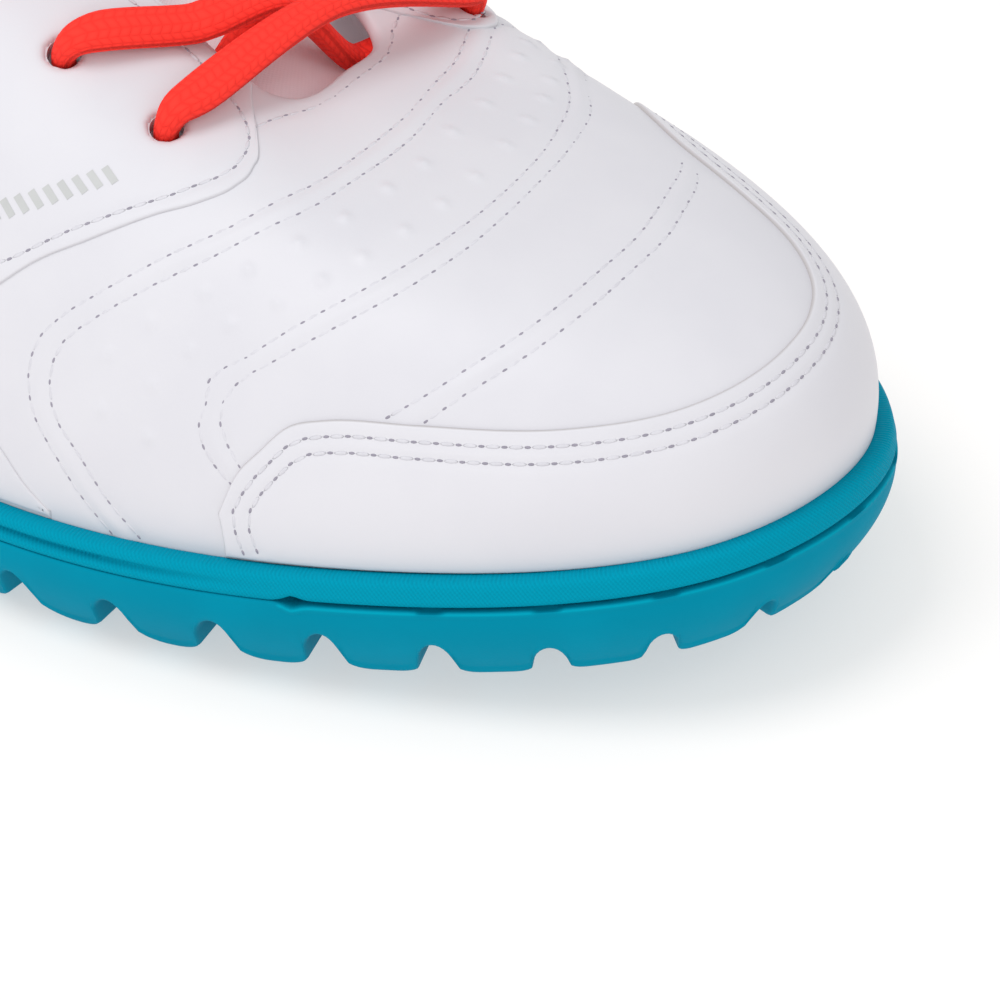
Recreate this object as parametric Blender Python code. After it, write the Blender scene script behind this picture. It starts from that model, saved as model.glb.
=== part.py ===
"""A turf football shoe for the right foot: lugged outsole, midsole, hollow upper with overlays, tongue, insole, lace.

Metres, +Z up. +X points to the toe, -Y to the outer (lateral) side, and the shoe stands on z = 0 with the origin
under the middle of its box. Around the shoe, 0 is the middle of the heel and the shares run up the lateral side to
the toe and back down the medial side to 1.
"""

import math

import bpy
import numpy as np

MM = 0.001

# Sole
LENGTH = 290.0 * MM
BALL_WIDTH = 100.0 * MM
HEEL_WIDTH = 74.0 * MM
SOLE_HEIGHT = 15.6 * MM
HEEL_LIFT = 7.0 * MM
TOE_SPRING = 8.5 * MM
SPRING_LENGTH = 90.0 * MM
WAIST_LIFT = 1.6 * MM
PARTING_HEIGHT = 12.2 * MM
LUG_HEIGHT = 5.2 * MM
LUG_BAND = 12.0 * MM
LUG_TAPER = 5.4 * MM
LUG_GAP_WIDTH = 4.6 * MM
LUG_COUNT = 47
FIRST_LUG_GAP = 0.93
STUD_TOP = 8.6 * MM
STUD_FOOT = 6.6 * MM
STUD_PITCH = 14.5 * MM
RIM_LIP = 3.3 * MM
RIM_ROUND = 0.9 * MM
RECESS_DEPTH = 3.2 * MM
INSOLE_THICKNESS = 3.6 * MM

# Upper
UPPER_WALL = 2.0 * MM
INSTEP_HEIGHT = 88.0 * MM
COLLAR_HEIGHT = 66.0 * MM
OVERLAY_THICKNESS = 1.0 * MM
OVERLAY_GAP = 0.6 * MM
TONGUE_THICKNESS = 5.0 * MM

# Lace
LACE_WIDTH = 5.0 * MM
LACE_THICKNESS = 2.2 * MM
LACE_IN_HOLE = 3.0 * MM
LACE_CLEARANCE = 0.8 * MM
EYELET_DIAMETER = 4.2 * MM
EYELET_INSET = 13.6 * MM
FIRST_EYELET = 0.714
EYELET_PITCH = 0.050
EYELET_PAIRS = 6

# The free space between neighbouring pieces
GAP = 0.3 * MM

AROUND_STEPS = 64
PROFILE_STEPS = 9

# The sole's widest outline, heel to toe. Columns: along as a share of LENGTH; lateral side as shares of BALL_WIDTH
# and of HEEL_WIDTH; medial side as shares of BALL_WIDTH and of HEEL_WIDTH.
OUTLINE = [
    # along, lateral of ball, lateral of heel, medial of ball, medial of heel
    (0.022, 0.000, 0.205, 0.000, 0.205),
    (0.060, 0.000, 0.360, 0.000, 0.352),
    (0.120, 0.000, 0.462, 0.000, 0.440),
    (0.210, 0.000, 0.502, 0.000, 0.452),
    (0.310, 0.130, 0.352, 0.105, 0.295),
    (0.410, 0.280, 0.196, 0.212, 0.150),
    (0.500, 0.436, 0.032, 0.330, 0.030),
    (0.580, 0.480, 0.000, 0.402, 0.000),
    (0.650, 0.499, 0.000, 0.456, 0.000),
    (0.715, 0.490, 0.000, 0.489, 0.000),
    (0.775, 0.456, 0.000, 0.500, 0.000),
    (0.830, 0.404, 0.000, 0.486, 0.000),
    (0.880, 0.340, 0.000, 0.449, 0.000),
    (0.925, 0.268, 0.000, 0.391, 0.000),
    (0.958, 0.196, 0.000, 0.322, 0.000),
    (0.984, 0.108, 0.000, 0.236, 0.000),
]
HEEL_TIP_ACROSS = 0.000
TOE_TIP_ACROSS = 0.066

# The edge of the collar and throat. Columns: share around; along as a share of LENGTH; across as a share of
# BALL_WIDTH, lateral negative; height over the sole's rim as shares of INSTEP_HEIGHT and of COLLAR_HEIGHT.
OPENING = [
    # around, along, across, of instep height, of collar height
    (0.000, 0.034, 0.000, 0.000, 1.000),
    (0.045, 0.066, -0.170, 0.000, 0.975),
    (0.090, 0.132, -0.268, 0.000, 0.850),
    (0.135, 0.205, -0.300, 0.000, 0.760),
    (0.180, 0.280, -0.290, 0.150, 0.600),
    (0.215, 0.345, -0.248, 0.470, 0.400),
    (0.245, 0.400, -0.170, 0.830, 0.060),
    (0.285, 0.475, -0.135, 0.797, 0.000),
    (0.330, 0.560, -0.105, 0.712, 0.000),
    (0.375, 0.640, -0.076, 0.602, 0.000),
    (0.415, 0.697, -0.056, 0.503, 0.000),
    (0.442, 0.727, -0.046, 0.456, 0.000),
    (0.460, 0.737, -0.020, 0.442, 0.000),
    (0.505, 0.736, 0.075, 0.438, 0.000),
    (0.548, 0.726, 0.165, 0.430, 0.000),
    (0.568, 0.712, 0.192, 0.440, 0.000),
    (0.595, 0.686, 0.198, 0.486, 0.000),
    (0.632, 0.640, 0.196, 0.586, 0.000),
    (0.675, 0.560, 0.193, 0.706, 0.000),
    (0.718, 0.475, 0.192, 0.795, 0.000),
    (0.757, 0.400, 0.205, 0.830, 0.060),
    (0.788, 0.345, 0.250, 0.470, 0.400),
    (0.823, 0.280, 0.284, 0.150, 0.620),
    (0.867, 0.205, 0.290, 0.000, 0.790),
    (0.911, 0.132, 0.256, 0.000, 0.870),
    (0.955, 0.066, 0.165, 0.000, 0.980),
]

# How each profile leaves the rim and reaches the opening. Columns: share around; rise of the lower handle as a share
# of INSTEP_HEIGHT; its lean outwards as a share of BALL_WIDTH; upper handle along as a share of LENGTH, across as a
# share of BALL_WIDTH and up as a share of INSTEP_HEIGHT.
PROFILE = [
    # around, rise, lean out, upper handle along, across, up
    (0.000, 0.300, 0.030, 0.008, 0.000, -0.300),
    (0.090, 0.290, 0.014, 0.000, -0.050, -0.260),
    (0.180, 0.270, 0.000, 0.006, -0.080, -0.240),
    (0.245, 0.270, -0.005, 0.010, -0.150, -0.260),
    (0.330, 0.260, 0.000, 0.006, -0.200, -0.150),
    (0.400, 0.250, 0.014, 0.016, -0.205, -0.050),
    (0.452, 0.290, 0.036, 0.070, -0.140, -0.040),
    (0.505, 0.330, 0.058, 0.120, 0.020, -0.080),
    (0.558, 0.290, 0.036, 0.070, 0.110, -0.060),
    (0.610, 0.250, 0.012, 0.016, 0.130, -0.060),
    (0.675, 0.260, 0.000, 0.006, 0.150, -0.130),
    (0.757, 0.280, -0.005, 0.010, 0.150, -0.240),
    (0.823, 0.280, -0.006, 0.006, 0.080, -0.240),
    (0.911, 0.290, 0.014, 0.000, 0.050, -0.260),
]


# Edge of the toe guard over the upper: share around, share of the way from rim to opening.
TOE_GUARD_EDGE = [
    # around, share
    (0.384, 0.090),
    (0.389, 0.155),
    (0.397, 0.215),
    (0.405, 0.262),
    (0.413, 0.280),
    (0.431, 0.285),
    (0.457, 0.268),
    (0.479, 0.262),
    (0.494, 0.271),
    (0.506, 0.285),
    (0.516, 0.300),
    (0.527, 0.332),
    (0.535, 0.378),
    (0.543, 0.455),
    (0.553, 0.520),
    (0.568, 0.530),
    (0.585, 0.480),
    (0.602, 0.390),
    (0.617, 0.280),
    (0.627, 0.180),
    (0.632, 0.090),
]

# Lower and front edge of the quarter over the upper, lateral side.
QUARTER_EDGE = [
    # around, share
    (0.130, 0.030),
    (0.170, 0.030),
    (0.230, 0.045),
    (0.270, 0.090),
    (0.300, 0.160),
    (0.322, 0.240),
    (0.340, 0.330),
    (0.358, 0.421),
    (0.374, 0.487),
    (0.394, 0.571),
    (0.408, 0.629),
    (0.420, 0.695),
    (0.428, 0.760),
    (0.433, 0.830),
    (0.435, 0.900),
]
QUARTER_MIRROR = 1.010

# Upper edge of the heel counter, lateral side.
COUNTER_EDGE = [
    # around, share
    (0.000, 0.560),
    (0.040, 0.540),
    (0.075, 0.470),
    (0.100, 0.330),
    (0.112, 0.180),
]

# The tongue from under the vamp to its free top. Columns: along as a share of LENGTH; how far its middle and its
# wings lie under the outer face of the upper, in mm; half of the part beyond the throat's edge, in mm.
TONGUE_ROWS = [
    # along, middle down, wing down, wing width
    (0.710, 6.4, 7.0, 9.0),
    (0.680, 6.4, 7.0, 10.0),
    (0.640, 6.4, 7.0, 11.0),
    (0.580, 6.4, 7.0, 11.0),
    (0.520, 6.4, 7.0, 11.0),
    (0.470, 6.4, 7.0, 10.0),
    (0.430, 6.0, 7.0, 7.0),
]
TONGUE_TOE = [
    # share from rim to opening, down in mm, half width as a share around
    (0.800, 3.2, 0.040),
    (0.900, 4.4, 0.044),
]
TONGUE_TOP = [
    # along, half width in mm, height in mm, drop of its edges in mm
    (0.392, 15.0, 99.5, 3.5),
    (0.370, 17.0, 106.0, 3.5),
    (0.345, 23.0, 112.0, 4.5),
    (0.328, 20.0, 115.0, 4.0),
]


def closed_spline(knots, values, at):
    """Values at the shares `at` of a smooth closed curve through the rows of values, one for each knot in 0 to 1."""
    knots = np.asarray(knots, float)
    values = np.asarray(values, float).reshape(len(knots), -1)
    count = len(knots)
    step = np.diff(np.append(knots, knots[0] + 1.0))
    before = np.roll(step, 1)
    system = np.zeros((count, count))
    right = np.zeros_like(values)
    ahead_values, behind_values = np.roll(values, -1, axis=0), np.roll(values, 1, axis=0)
    for i in range(count):
        system[i, i] = 2.0 * (before[i] + step[i])
        system[i, (i - 1) % count] += step[i]
        system[i, (i + 1) % count] += before[i]
        right[i] = 3.0 * (
            before[i] * (ahead_values[i] - values[i]) / step[i]
            + step[i] * (values[i] - behind_values[i]) / before[i]
        )
    slope = np.linalg.solve(system, right)
    place = (np.asarray(at, float) - knots[0]) % 1.0 + knots[0]
    low = np.clip(np.searchsorted(knots, place, side="right") - 1, 0, count - 1)
    high = (low + 1) % count
    width = step[low][..., None]
    u = ((place - knots[low]) / step[low])[..., None]
    return (
        (2 * u**3 - 3 * u**2 + 1) * values[low]
        + (u**3 - 2 * u**2 + u) * width * slope[low]
        + (-2 * u**3 + 3 * u**2) * values[high]
        + (u**3 - u**2) * width * slope[high]
    )


def smooth_step(value):
    """0 below 0, 1 above 1, and an even turn between."""
    value = np.clip(value, 0.0, 1.0)
    return value * value * (3.0 - 2.0 * value)


def outline_knots():
    """The outline's own points, lateral side from heel to toe, then medial side back to the heel, at full width."""
    lateral = [(a, -(b * BALL_WIDTH + h * HEEL_WIDTH)) for a, b, h, _, _ in OUTLINE]
    medial = [(a, b * BALL_WIDTH + h * HEEL_WIDTH) for a, _, _, b, h in reversed(OUTLINE)]
    ring = [(0.0, HEEL_TIP_ACROSS * BALL_WIDTH), *lateral, (1.0, TOE_TIP_ACROSS * BALL_WIDTH), *medial]
    return np.array([((along - 0.5) * LENGTH, across) for along, across in ring])


def outline_curve():
    """Shares around, points and outward directions of the outline, closely spaced by length."""
    ring = outline_knots()
    chord = np.linalg.norm(np.diff(np.vstack([ring, ring[:1]]), axis=0), axis=1)
    knots = np.concatenate([[0.0], np.cumsum(chord)[:-1]]) / chord.sum()
    fine = closed_spline(knots, ring, np.linspace(0.0, 1.0, 1441)[:-1])
    lengths = np.linalg.norm(np.diff(np.vstack([fine, fine[:1]]), axis=0), axis=1)
    share = np.concatenate([[0.0], np.cumsum(lengths)[:-1]]) / lengths.sum()
    ahead = np.roll(fine, -1, axis=0) - np.roll(fine, 1, axis=0)
    ahead /= np.linalg.norm(ahead, axis=1)[:, None]
    outward = np.stack([ahead[:, 1], -ahead[:, 0]], axis=1)
    return share, fine, outward


SHARES, RING, OUTWARD = outline_curve()


def on_outline(around, inset=0.0):
    """Plan points at shares around the outline, moved inwards by inset."""
    around = np.asarray(around, float) % 1.0
    both = np.hstack([RING, OUTWARD])
    at = np.stack([np.interp(around, np.append(SHARES, 1.0), np.append(c, c[0])) for c in both.T], axis=-1)
    return at[..., :2] - np.asarray(inset)[..., None] * at[..., 2:]


def spring(x):
    """Height of the lugs' feet over the floor: the toe springs up and the waist is lifted a little."""
    toe = np.clip((SPRING_LENGTH - (0.5 * LENGTH - x)) / SPRING_LENGTH, 0.0, 1.0)
    share = x / LENGTH + 0.5
    waist = smooth_step((share - 0.36) / 0.06) * smooth_step((0.60 - share) / 0.06)
    return TOE_SPRING * toe**2 + WAIST_LIFT * waist


def heel_rise(x):
    """How much higher the rim stands behind the ball than under it."""
    return HEEL_LIFT * smooth_step((0.68 - (x / LENGTH + 0.5)) / 0.30)


def rim_height(x):
    """Top of the midsole's rim."""
    return SOLE_HEIGHT + spring(x) + heel_rise(x)


def parting(x):
    """Height of the joint between outsole and midsole."""
    return PARTING_HEIGHT + spring(x)


def lug_root(x):
    """Underside of the outsole's plate, where the lugs start."""
    return LUG_HEIGHT + spring(x)


def foot_outline(around):
    """Plan points under the upper's outer face."""
    return on_outline(around, RIM_LIP + GAP)


def profile_point(around, share):
    """Points of the upper's outer face: share 0 is at the rim and share 1 at the opening."""
    around, share = np.broadcast_arrays(np.asarray(around, float), np.asarray(share, float))
    plan = foot_outline(around)
    base = np.concatenate([plan, rim_height(plan[..., :1])], axis=-1)
    outward = plan - on_outline(around, RIM_LIP + GAP + 1.0 * MM)
    outward /= np.linalg.norm(outward, axis=-1)[..., None]
    edge = closed_spline([r[0] for r in OPENING], [r[1:] for r in OPENING], around)
    edge_x = (edge[..., 0] - 0.5) * LENGTH
    edge_z = rim_height(edge_x) + edge[..., 2] * INSTEP_HEIGHT + edge[..., 3] * COLLAR_HEIGHT
    top = np.stack([edge_x, edge[..., 1] * BALL_WIDTH, edge_z], axis=-1)
    form = closed_spline([r[0] for r in PROFILE], [r[1:] for r in PROFILE], around)
    low = base.copy()
    low[..., :2] += outward * (form[..., 1] * BALL_WIDTH)[..., None]
    low[..., 2] += form[..., 0] * INSTEP_HEIGHT
    high = top + form[..., 2:] * np.array([LENGTH, BALL_WIDTH, INSTEP_HEIGHT])
    u = share[..., None]
    return (1 - u) ** 3 * base + 3 * (1 - u) ** 2 * u * low + 3 * (1 - u) * u**2 * high + u**3 * top


def profile_normal(around, share):
    """Outward unit normals of the upper's outer face."""
    step = 1e-4
    along = profile_point(around + step, share) - profile_point(around - step, share)
    inner, outer = np.clip(share - step, 0.0, 1.0), np.clip(share + step, 0.0, 1.0)
    up = profile_point(around, outer) - profile_point(around, inner)
    normal = np.cross(along, up)
    return normal / np.linalg.norm(normal, axis=-1)[..., None]


def wall_point(around, share, out=0.0):
    """Points a distance out from the upper's outer face, or inside it where out is negative."""
    around, share = np.broadcast_arrays(np.asarray(around, float), np.asarray(share, float))
    return profile_point(around, share) + profile_normal(around, share) * np.asarray(out)[..., None]


def material(name, colour, roughness):
    """A plain material of one colour."""
    made = bpy.data.materials.new(name)
    made.use_nodes = True
    shader = made.node_tree.nodes["Principled BSDF"]
    shader.inputs["Base Color"].default_value = (*colour, 1.0)
    shader.inputs["Roughness"].default_value = roughness
    shader.inputs["Metallic"].default_value = 0.0
    made.diffuse_color = (*colour, 1.0)
    return made


def add_object(name, points, faces, finish, smooth_angle=35.0):
    """A mesh object with one material, shaded smooth up to an angle."""
    mesh = bpy.data.meshes.new(name)
    mesh.from_pydata([tuple(map(float, p)) for p in points], [], [tuple(map(int, f)) for f in faces])
    mesh.materials.append(finish)
    mesh.shade_smooth()
    mesh.set_sharp_from_angle(angle=math.radians(smooth_angle))
    made = bpy.data.objects.new(name, mesh)
    bpy.context.scene.collection.objects.link(made)
    return made


def grid_faces(rows, columns, closed, start=0):
    """Quads between rows of points, each row holding the same number of columns."""
    last = columns if closed else columns - 1
    return [
        (
            start + r * columns + c,
            start + r * columns + (c + 1) % columns,
            start + (r + 1) * columns + (c + 1) % columns,
            start + (r + 1) * columns + c,
        )
        for r in range(rows - 1)
        for c in range(last)
    ]


def strip_faces(columns, start, upwards):
    """Quads that close a ring of points from its lateral to its medial side, the heel and toe ends as triangles."""
    faces = []
    half = columns // 2
    for i in range(half):
        corners = [start + i, start + i + 1, start + (columns - i - 1) % columns, start + (columns - i) % columns]
        corners = list(dict.fromkeys(corners))
        faces.append(tuple(corners if upwards else reversed(corners)))
    return faces


def ring_solid(name, levels, columns, finish):
    """A solid from rings stacked from its underside to its top, both closed by strips across."""
    around = np.arange(columns) / columns
    points = []
    for inset, height in levels:
        plan = on_outline(around, inset)
        points.append(np.column_stack([plan, height(plan[:, 0])]))
    faces = strip_faces(columns, 0, False)
    faces += grid_faces(len(levels), columns, True)
    faces += strip_faces(columns, (len(levels) - 1) * columns, True)
    return add_object(name, np.vstack(points), faces, finish)


def shell_solid(name, outer, inner, closed, finish):
    """A thin wall between two grids of points of the same shape, closed round its edges."""
    rows, columns = outer.shape[:2]
    points = np.vstack([outer.reshape(-1, 3), inner.reshape(-1, 3)])
    count = rows * columns
    faces = grid_faces(rows, columns, closed)
    faces += [tuple(reversed(f)) for f in grid_faces(rows, columns, closed, count)]
    last = columns if closed else columns - 1
    for c in range(last):
        n = (c + 1) % columns
        faces.append((n, c, count + c, count + n))
        top = (rows - 1) * columns
        faces.append((top + c, top + n, count + top + n, count + top + c))
    if not closed:
        for r in range(rows - 1):
            a, b = r * columns, (r + 1) * columns
            faces.append((a, b, count + b, count + a))
            c, d = a + columns - 1, b + columns - 1
            faces.append((d, c, count + c, count + d))
    return add_object(name, points, faces, finish)


def cutter(name, points, faces):
    """A helper solid that a Boolean takes away or adds, left out of the model."""
    made = add_object(name, points, faces, bpy.data.materials["outsole_rubber"])
    made.hide_render = True
    made.display_type = "WIRE"
    return made


def boolean(target, other, operation):
    """Applies one Boolean with the exact solver."""
    modifier = target.modifiers.new(operation.lower(), "BOOLEAN")
    modifier.operation = operation
    modifier.object = other
    modifier.solver = "EXACT"
    modifier.use_self = True


def prism(section, start, end):
    """Points and faces of a prism: section points in 3-D about the origin, moved to start and to end."""
    count = len(section)
    points = np.vstack([section + start, section + end])
    faces = [tuple(range(count)), tuple(range(2 * count - 1, count - 1, -1))]
    faces += [(i, count + i, count + (i + 1) % count, (i + 1) % count) for i in range(count)]
    return points, faces


def merged(parts):
    """Several point and face lists as one."""
    points, faces, start = [], [], 0
    for part_points, part_faces in parts:
        points.append(part_points)
        faces += [tuple(start + i for i in f) for f in part_faces]
        start += len(part_points)
    return np.vstack(points), faces


def lug_gap_cutters():
    """Arched channels, square to the edge, that part the skirt of the outsole into lugs."""
    parts = []
    for i in range(LUG_COUNT):
        around = (i + FIRST_LUG_GAP) / LUG_COUNT
        foot = on_outline(around, LUG_TAPER + 0.5 * LUG_BAND)
        inner = on_outline(around, LUG_TAPER + LUG_BAND + 3.0 * MM)
        outer = on_outline(around, -3.0 * MM)
        direction = np.append(outer - inner, 0.0)
        side = np.cross(direction / np.linalg.norm(direction), [0.0, 0.0, 1.0])
        floor = float(spring(foot[0]))
        wide, high = 0.5 * LUG_GAP_WIDTH, LUG_HEIGHT - 0.4 * MM
        arch = [(-1.3, -3.0 * MM / high), (1.3, -3.0 * MM / high), (1.0, 0.4), (0.5, 1.0), (-0.5, 1.0), (-1.0, 0.4)]
        section = np.array([side * wide * a + np.array([0.0, 0.0, high * b]) for a, b in arch])
        points, faces = prism(section, np.append(inner, floor), np.append(outer, floor))
        parts.append((points, faces))
    return cutter("lug_gap_cutters", *merged(parts))


def stud_places():
    """Plan points of the inner studs, in staggered rows that stay clear of the lugged edge."""
    rows = int(LENGTH / STUD_PITCH)
    clear = LUG_TAPER + LUG_BAND + 0.5 * STUD_TOP + 1.5 * MM
    inner = on_outline(np.linspace(0.0, 1.0, 361)[:-1], clear)
    places = []
    for row in range(rows):
        x = (row + 0.5 - 0.5 * rows) * STUD_PITCH
        crossing = []
        for (x0, y0), (x1, y1) in zip(inner, np.roll(inner, -1, axis=0)):
            if (x0 - x) * (x1 - x) < 0:
                crossing.append(y0 + (y1 - y0) * (x - x0) / (x1 - x0))
        if len(crossing) < 2:
            continue
        low, high = min(crossing), max(crossing)
        across = int((high - low) / STUD_PITCH) + 1
        middle = 0.5 * (low + high)
        places += [(x, middle + (k - 0.5 * (across - 1)) * STUD_PITCH) for k in range(across)]
    return places


def stud_solids():
    """Six-sided tapered studs that reach up into the outsole's plate."""
    parts = []
    turns = np.arange(6) * math.tau / 6
    for x, y in stud_places():
        foot, root = float(spring(x)), float(lug_root(x)) + 1.0 * MM
        low = [(x + 0.5 * STUD_FOOT * math.cos(t), y + 0.5 * STUD_FOOT * math.sin(t), foot) for t in turns]
        high = [(x + 0.5 * STUD_TOP * math.cos(t), y + 0.5 * STUD_TOP * math.sin(t), root) for t in turns]
        faces = [(5, 4, 3, 2, 1, 0), (6, 7, 8, 9, 10, 11)]
        faces += [(i, (i + 1) % 6, 6 + (i + 1) % 6, 6 + i) for i in range(6)]
        parts.append((np.array(low + high), faces))
    return cutter("stud_solids", *merged(parts))


def build_outsole(finish):
    """Plate with a skirt round its edge, cut into lugs, and studs inside the skirt."""
    levels = [
        (LUG_TAPER + LUG_BAND, lug_root),
        (LUG_TAPER + LUG_BAND - 1.2 * MM, spring),
        (LUG_TAPER, spring),
        (0.30 * LUG_TAPER, lug_root),
        (0.0, lambda x: parting(x) - 1.5 * MM),
        (0.5 * MM, lambda x: parting(x) - 0.5 * GAP),
    ]
    outsole = ring_solid("outsole", levels, AROUND_STEPS, finish)
    boolean(outsole, lug_gap_cutters(), "DIFFERENCE")
    boolean(outsole, stud_solids(), "UNION")
    return outsole


def build_midsole(finish):
    """Foam band with a lip round a shallow recess that the upper stands in."""
    levels = [
        (0.5 * MM, lambda x: parting(x) + 0.5 * GAP),
        (0.0, lambda x: parting(x) + 1.2 * MM),
        (0.3 * MM, lambda x: rim_height(x) - RIM_ROUND),
        (0.3 * MM + RIM_ROUND, rim_height),
        (RIM_LIP, rim_height),
        (RIM_LIP, lambda x: rim_height(x) - RECESS_DEPTH),
    ]
    return ring_solid("midsole", levels, AROUND_STEPS, finish)


def build_insole(finish):
    """Footbed on the recess floor, a little inside the upper's wall."""
    inset = RIM_LIP + GAP + UPPER_WALL + 1.2 * MM
    bottom = lambda x: rim_height(x) - RECESS_DEPTH + GAP
    levels = [
        (inset + 0.6 * MM, bottom),
        (inset, lambda x: bottom(x) + 0.6 * MM),
        (inset, lambda x: bottom(x) + INSOLE_THICKNESS - 0.8 * MM),
        (inset + 0.8 * MM, lambda x: bottom(x) + INSOLE_THICKNESS),
    ]
    return ring_solid("insole", levels, AROUND_STEPS, finish)


def throat_edge(side, along):
    """Share around the opening where the throat's edge on one side is at a share of the length."""
    fine = np.linspace(0.25, 0.44, 200) if side < 0 else np.linspace(0.75, 0.56, 200)
    x = profile_point(fine, 1.0)[:, 0] / LENGTH + 0.5
    return float(np.interp(along, x, fine))


def eyelets():
    """For each pair from the toe up: place and outward direction of the lateral and the medial hole."""
    offset, share = np.meshgrid(np.linspace(-0.10, 0.06, 81), np.linspace(1.0, 0.3, 141), indexing="ij")
    pairs = []
    for i in range(EYELET_PAIRS):
        pair = []
        for side in (-1, 1):
            edge = throat_edge(side, FIRST_EYELET - i * EYELET_PITCH)
            ahead = profile_point(edge + 0.004, 1.0) - profile_point(edge - 0.004, 1.0)
            ahead /= np.linalg.norm(ahead)
            around = edge - side * offset
            away = profile_point(around, share) - profile_point(edge, 1.0)
            miss = (away @ ahead) ** 2 + (np.linalg.norm(away, axis=-1) - EYELET_INSET) ** 2
            best = np.unravel_index(np.argmin(miss), miss.shape)
            hole = around[best], share[best]
            pair.append((profile_point(*hole), profile_normal(*hole)))
        pairs.append(pair)
    return pairs


def frame_about(direction):
    """Two unit vectors square to a direction."""
    first = np.cross(direction, [0.0, 0.0, 1.0] if abs(direction[2]) < 0.9 else [1.0, 0.0, 0.0])
    first /= np.linalg.norm(first)
    return first, np.cross(direction, first)


def eyelet_cutters():
    """Short rods through upper and quarter at each lace hole."""
    parts = []
    turns = np.arange(8) * math.tau / 8
    for pair in eyelets():
        for place, outward in pair:
            first, second = frame_about(outward)
            ring = np.array([0.5 * EYELET_DIAMETER * (math.cos(t) * first + math.sin(t) * second) for t in turns])
            reach = UPPER_WALL + OVERLAY_THICKNESS + OVERLAY_GAP + 1.5 * MM
            points, faces = prism(ring, place + outward * reach, place - outward * reach)
            parts.append((points, faces))
    return cutter("eyelet_cutters", *merged(parts))


def build_upper(finish):
    """The hollow upper: a wall open at collar and throat and underneath, where it stands in the midsole's recess."""
    around = np.arange(AROUND_STEPS) / AROUND_STEPS
    shares = np.linspace(0.0, 1.0, PROFILE_STEPS + 1)
    outer = wall_point(around[None, :], shares[:, None])
    inner = wall_point(around[None, :], shares[:, None], -UPPER_WALL)
    skirt = RECESS_DEPTH - GAP
    outer = np.concatenate([outer[:1] - [0.0, 0.0, skirt], outer])
    inner_foot = inner[:1].copy()
    inner_foot[..., 2] = outer[:1, :, 2]
    upper = shell_solid("upper", outer, np.concatenate([inner_foot, inner]), True, finish)
    boolean(upper, eyelet_cutters(), "DIFFERENCE")
    return upper


def overlay_patch(name, first, last, low, high, step, rows, finish):
    """A thin shell just outside the upper between two shares around, from edge function low to edge function high."""
    marks = np.arange(math.ceil(first / step + 0.2), math.floor(last / step - 0.2) + 1) * step
    around = np.concatenate([[first], marks, [last]])
    bottom, top = low(around), high(around)
    mix = np.linspace(0.0, 1.0, rows)[:, None]
    share = bottom[None, :] * (1.0 - mix) + top[None, :] * mix
    spread = np.broadcast_to(around[None, :], share.shape)
    outer = wall_point(spread, share, OVERLAY_GAP + OVERLAY_THICKNESS)
    inner = wall_point(spread, share, OVERLAY_GAP)
    return shell_solid(name, outer, inner, False, finish)


def edge_function(table, mirror=None):
    """The edge in a table as a function of the share around, mirrored to the medial side on request."""
    knots = np.array([row[0] for row in table])
    shares = np.array([row[1] for row in table])
    if mirror is not None:
        knots, shares = (mirror - knots)[::-1], shares[::-1]
    return lambda around: np.interp(around, knots, shares)


def build_overlays(finish):
    """Toe guard, both quarters and the heel counter, each cut from the upper's own form."""
    step = 1.0 / AROUND_STEPS
    rim = lambda around: np.full_like(around, 0.015)
    edge = lambda around: np.full_like(around, 0.985)
    guard = edge_function(TOE_GUARD_EDGE)
    overlay_patch("toe_guard", TOE_GUARD_EDGE[0][0], TOE_GUARD_EDGE[-1][0], rim, guard, 0.5 * step, 5, finish)
    first, last = QUARTER_EDGE[0][0], QUARTER_EDGE[-1][0]
    lateral = overlay_patch("quarter_lateral", first, last, edge_function(QUARTER_EDGE), edge, step, 9, finish)
    medial_edge = edge_function(QUARTER_EDGE, QUARTER_MIRROR)
    medial = overlay_patch(
        "quarter_medial", QUARTER_MIRROR - last, QUARTER_MIRROR - first, medial_edge, edge, step, 9, finish
    )
    for quarter in (lateral, medial):
        boolean(quarter, bpy.data.objects["eyelet_cutters"], "DIFFERENCE")
    counter = edge_function(COUNTER_EDGE)
    reach = COUNTER_EDGE[-1][0]
    overlay_patch("heel_counter", -reach, reach, rim, lambda around: counter(np.abs(around)), step, 5, finish)


def through_points(controls, count):
    """A smooth curve through evenly spaced control points, as count samples."""
    controls = np.asarray(controls, float)
    knots = np.linspace(0.0, 1.0, len(controls))
    at = np.linspace(0.0, 1.0, count)
    curve = np.zeros((count, controls.shape[1]))
    for i, control in enumerate(controls):
        others = np.delete(knots, i)
        weight = np.prod([(at - other) / (knots[i] - other) for other in others], axis=0)
        curve += weight[:, None] * control
    return curve


def walk_from_edge(edge, distance):
    """Share around and share up of the point on the outer face a distance square off the throat's edge."""
    side = -1 if edge < 0.5 else 1
    offset, share = np.meshgrid(np.linspace(-0.10, 0.06, 81), np.linspace(1.0, 0.2, 161), indexing="ij")
    ahead = profile_point(edge + 0.004, 1.0) - profile_point(edge - 0.004, 1.0)
    ahead /= np.linalg.norm(ahead)
    around = edge - side * offset
    away = profile_point(around, share) - profile_point(edge, 1.0)
    miss = (away @ ahead) ** 2 + (np.linalg.norm(away, axis=-1) - distance) ** 2
    best = np.unravel_index(np.argmin(miss), miss.shape)
    return around[best], share[best]


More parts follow.
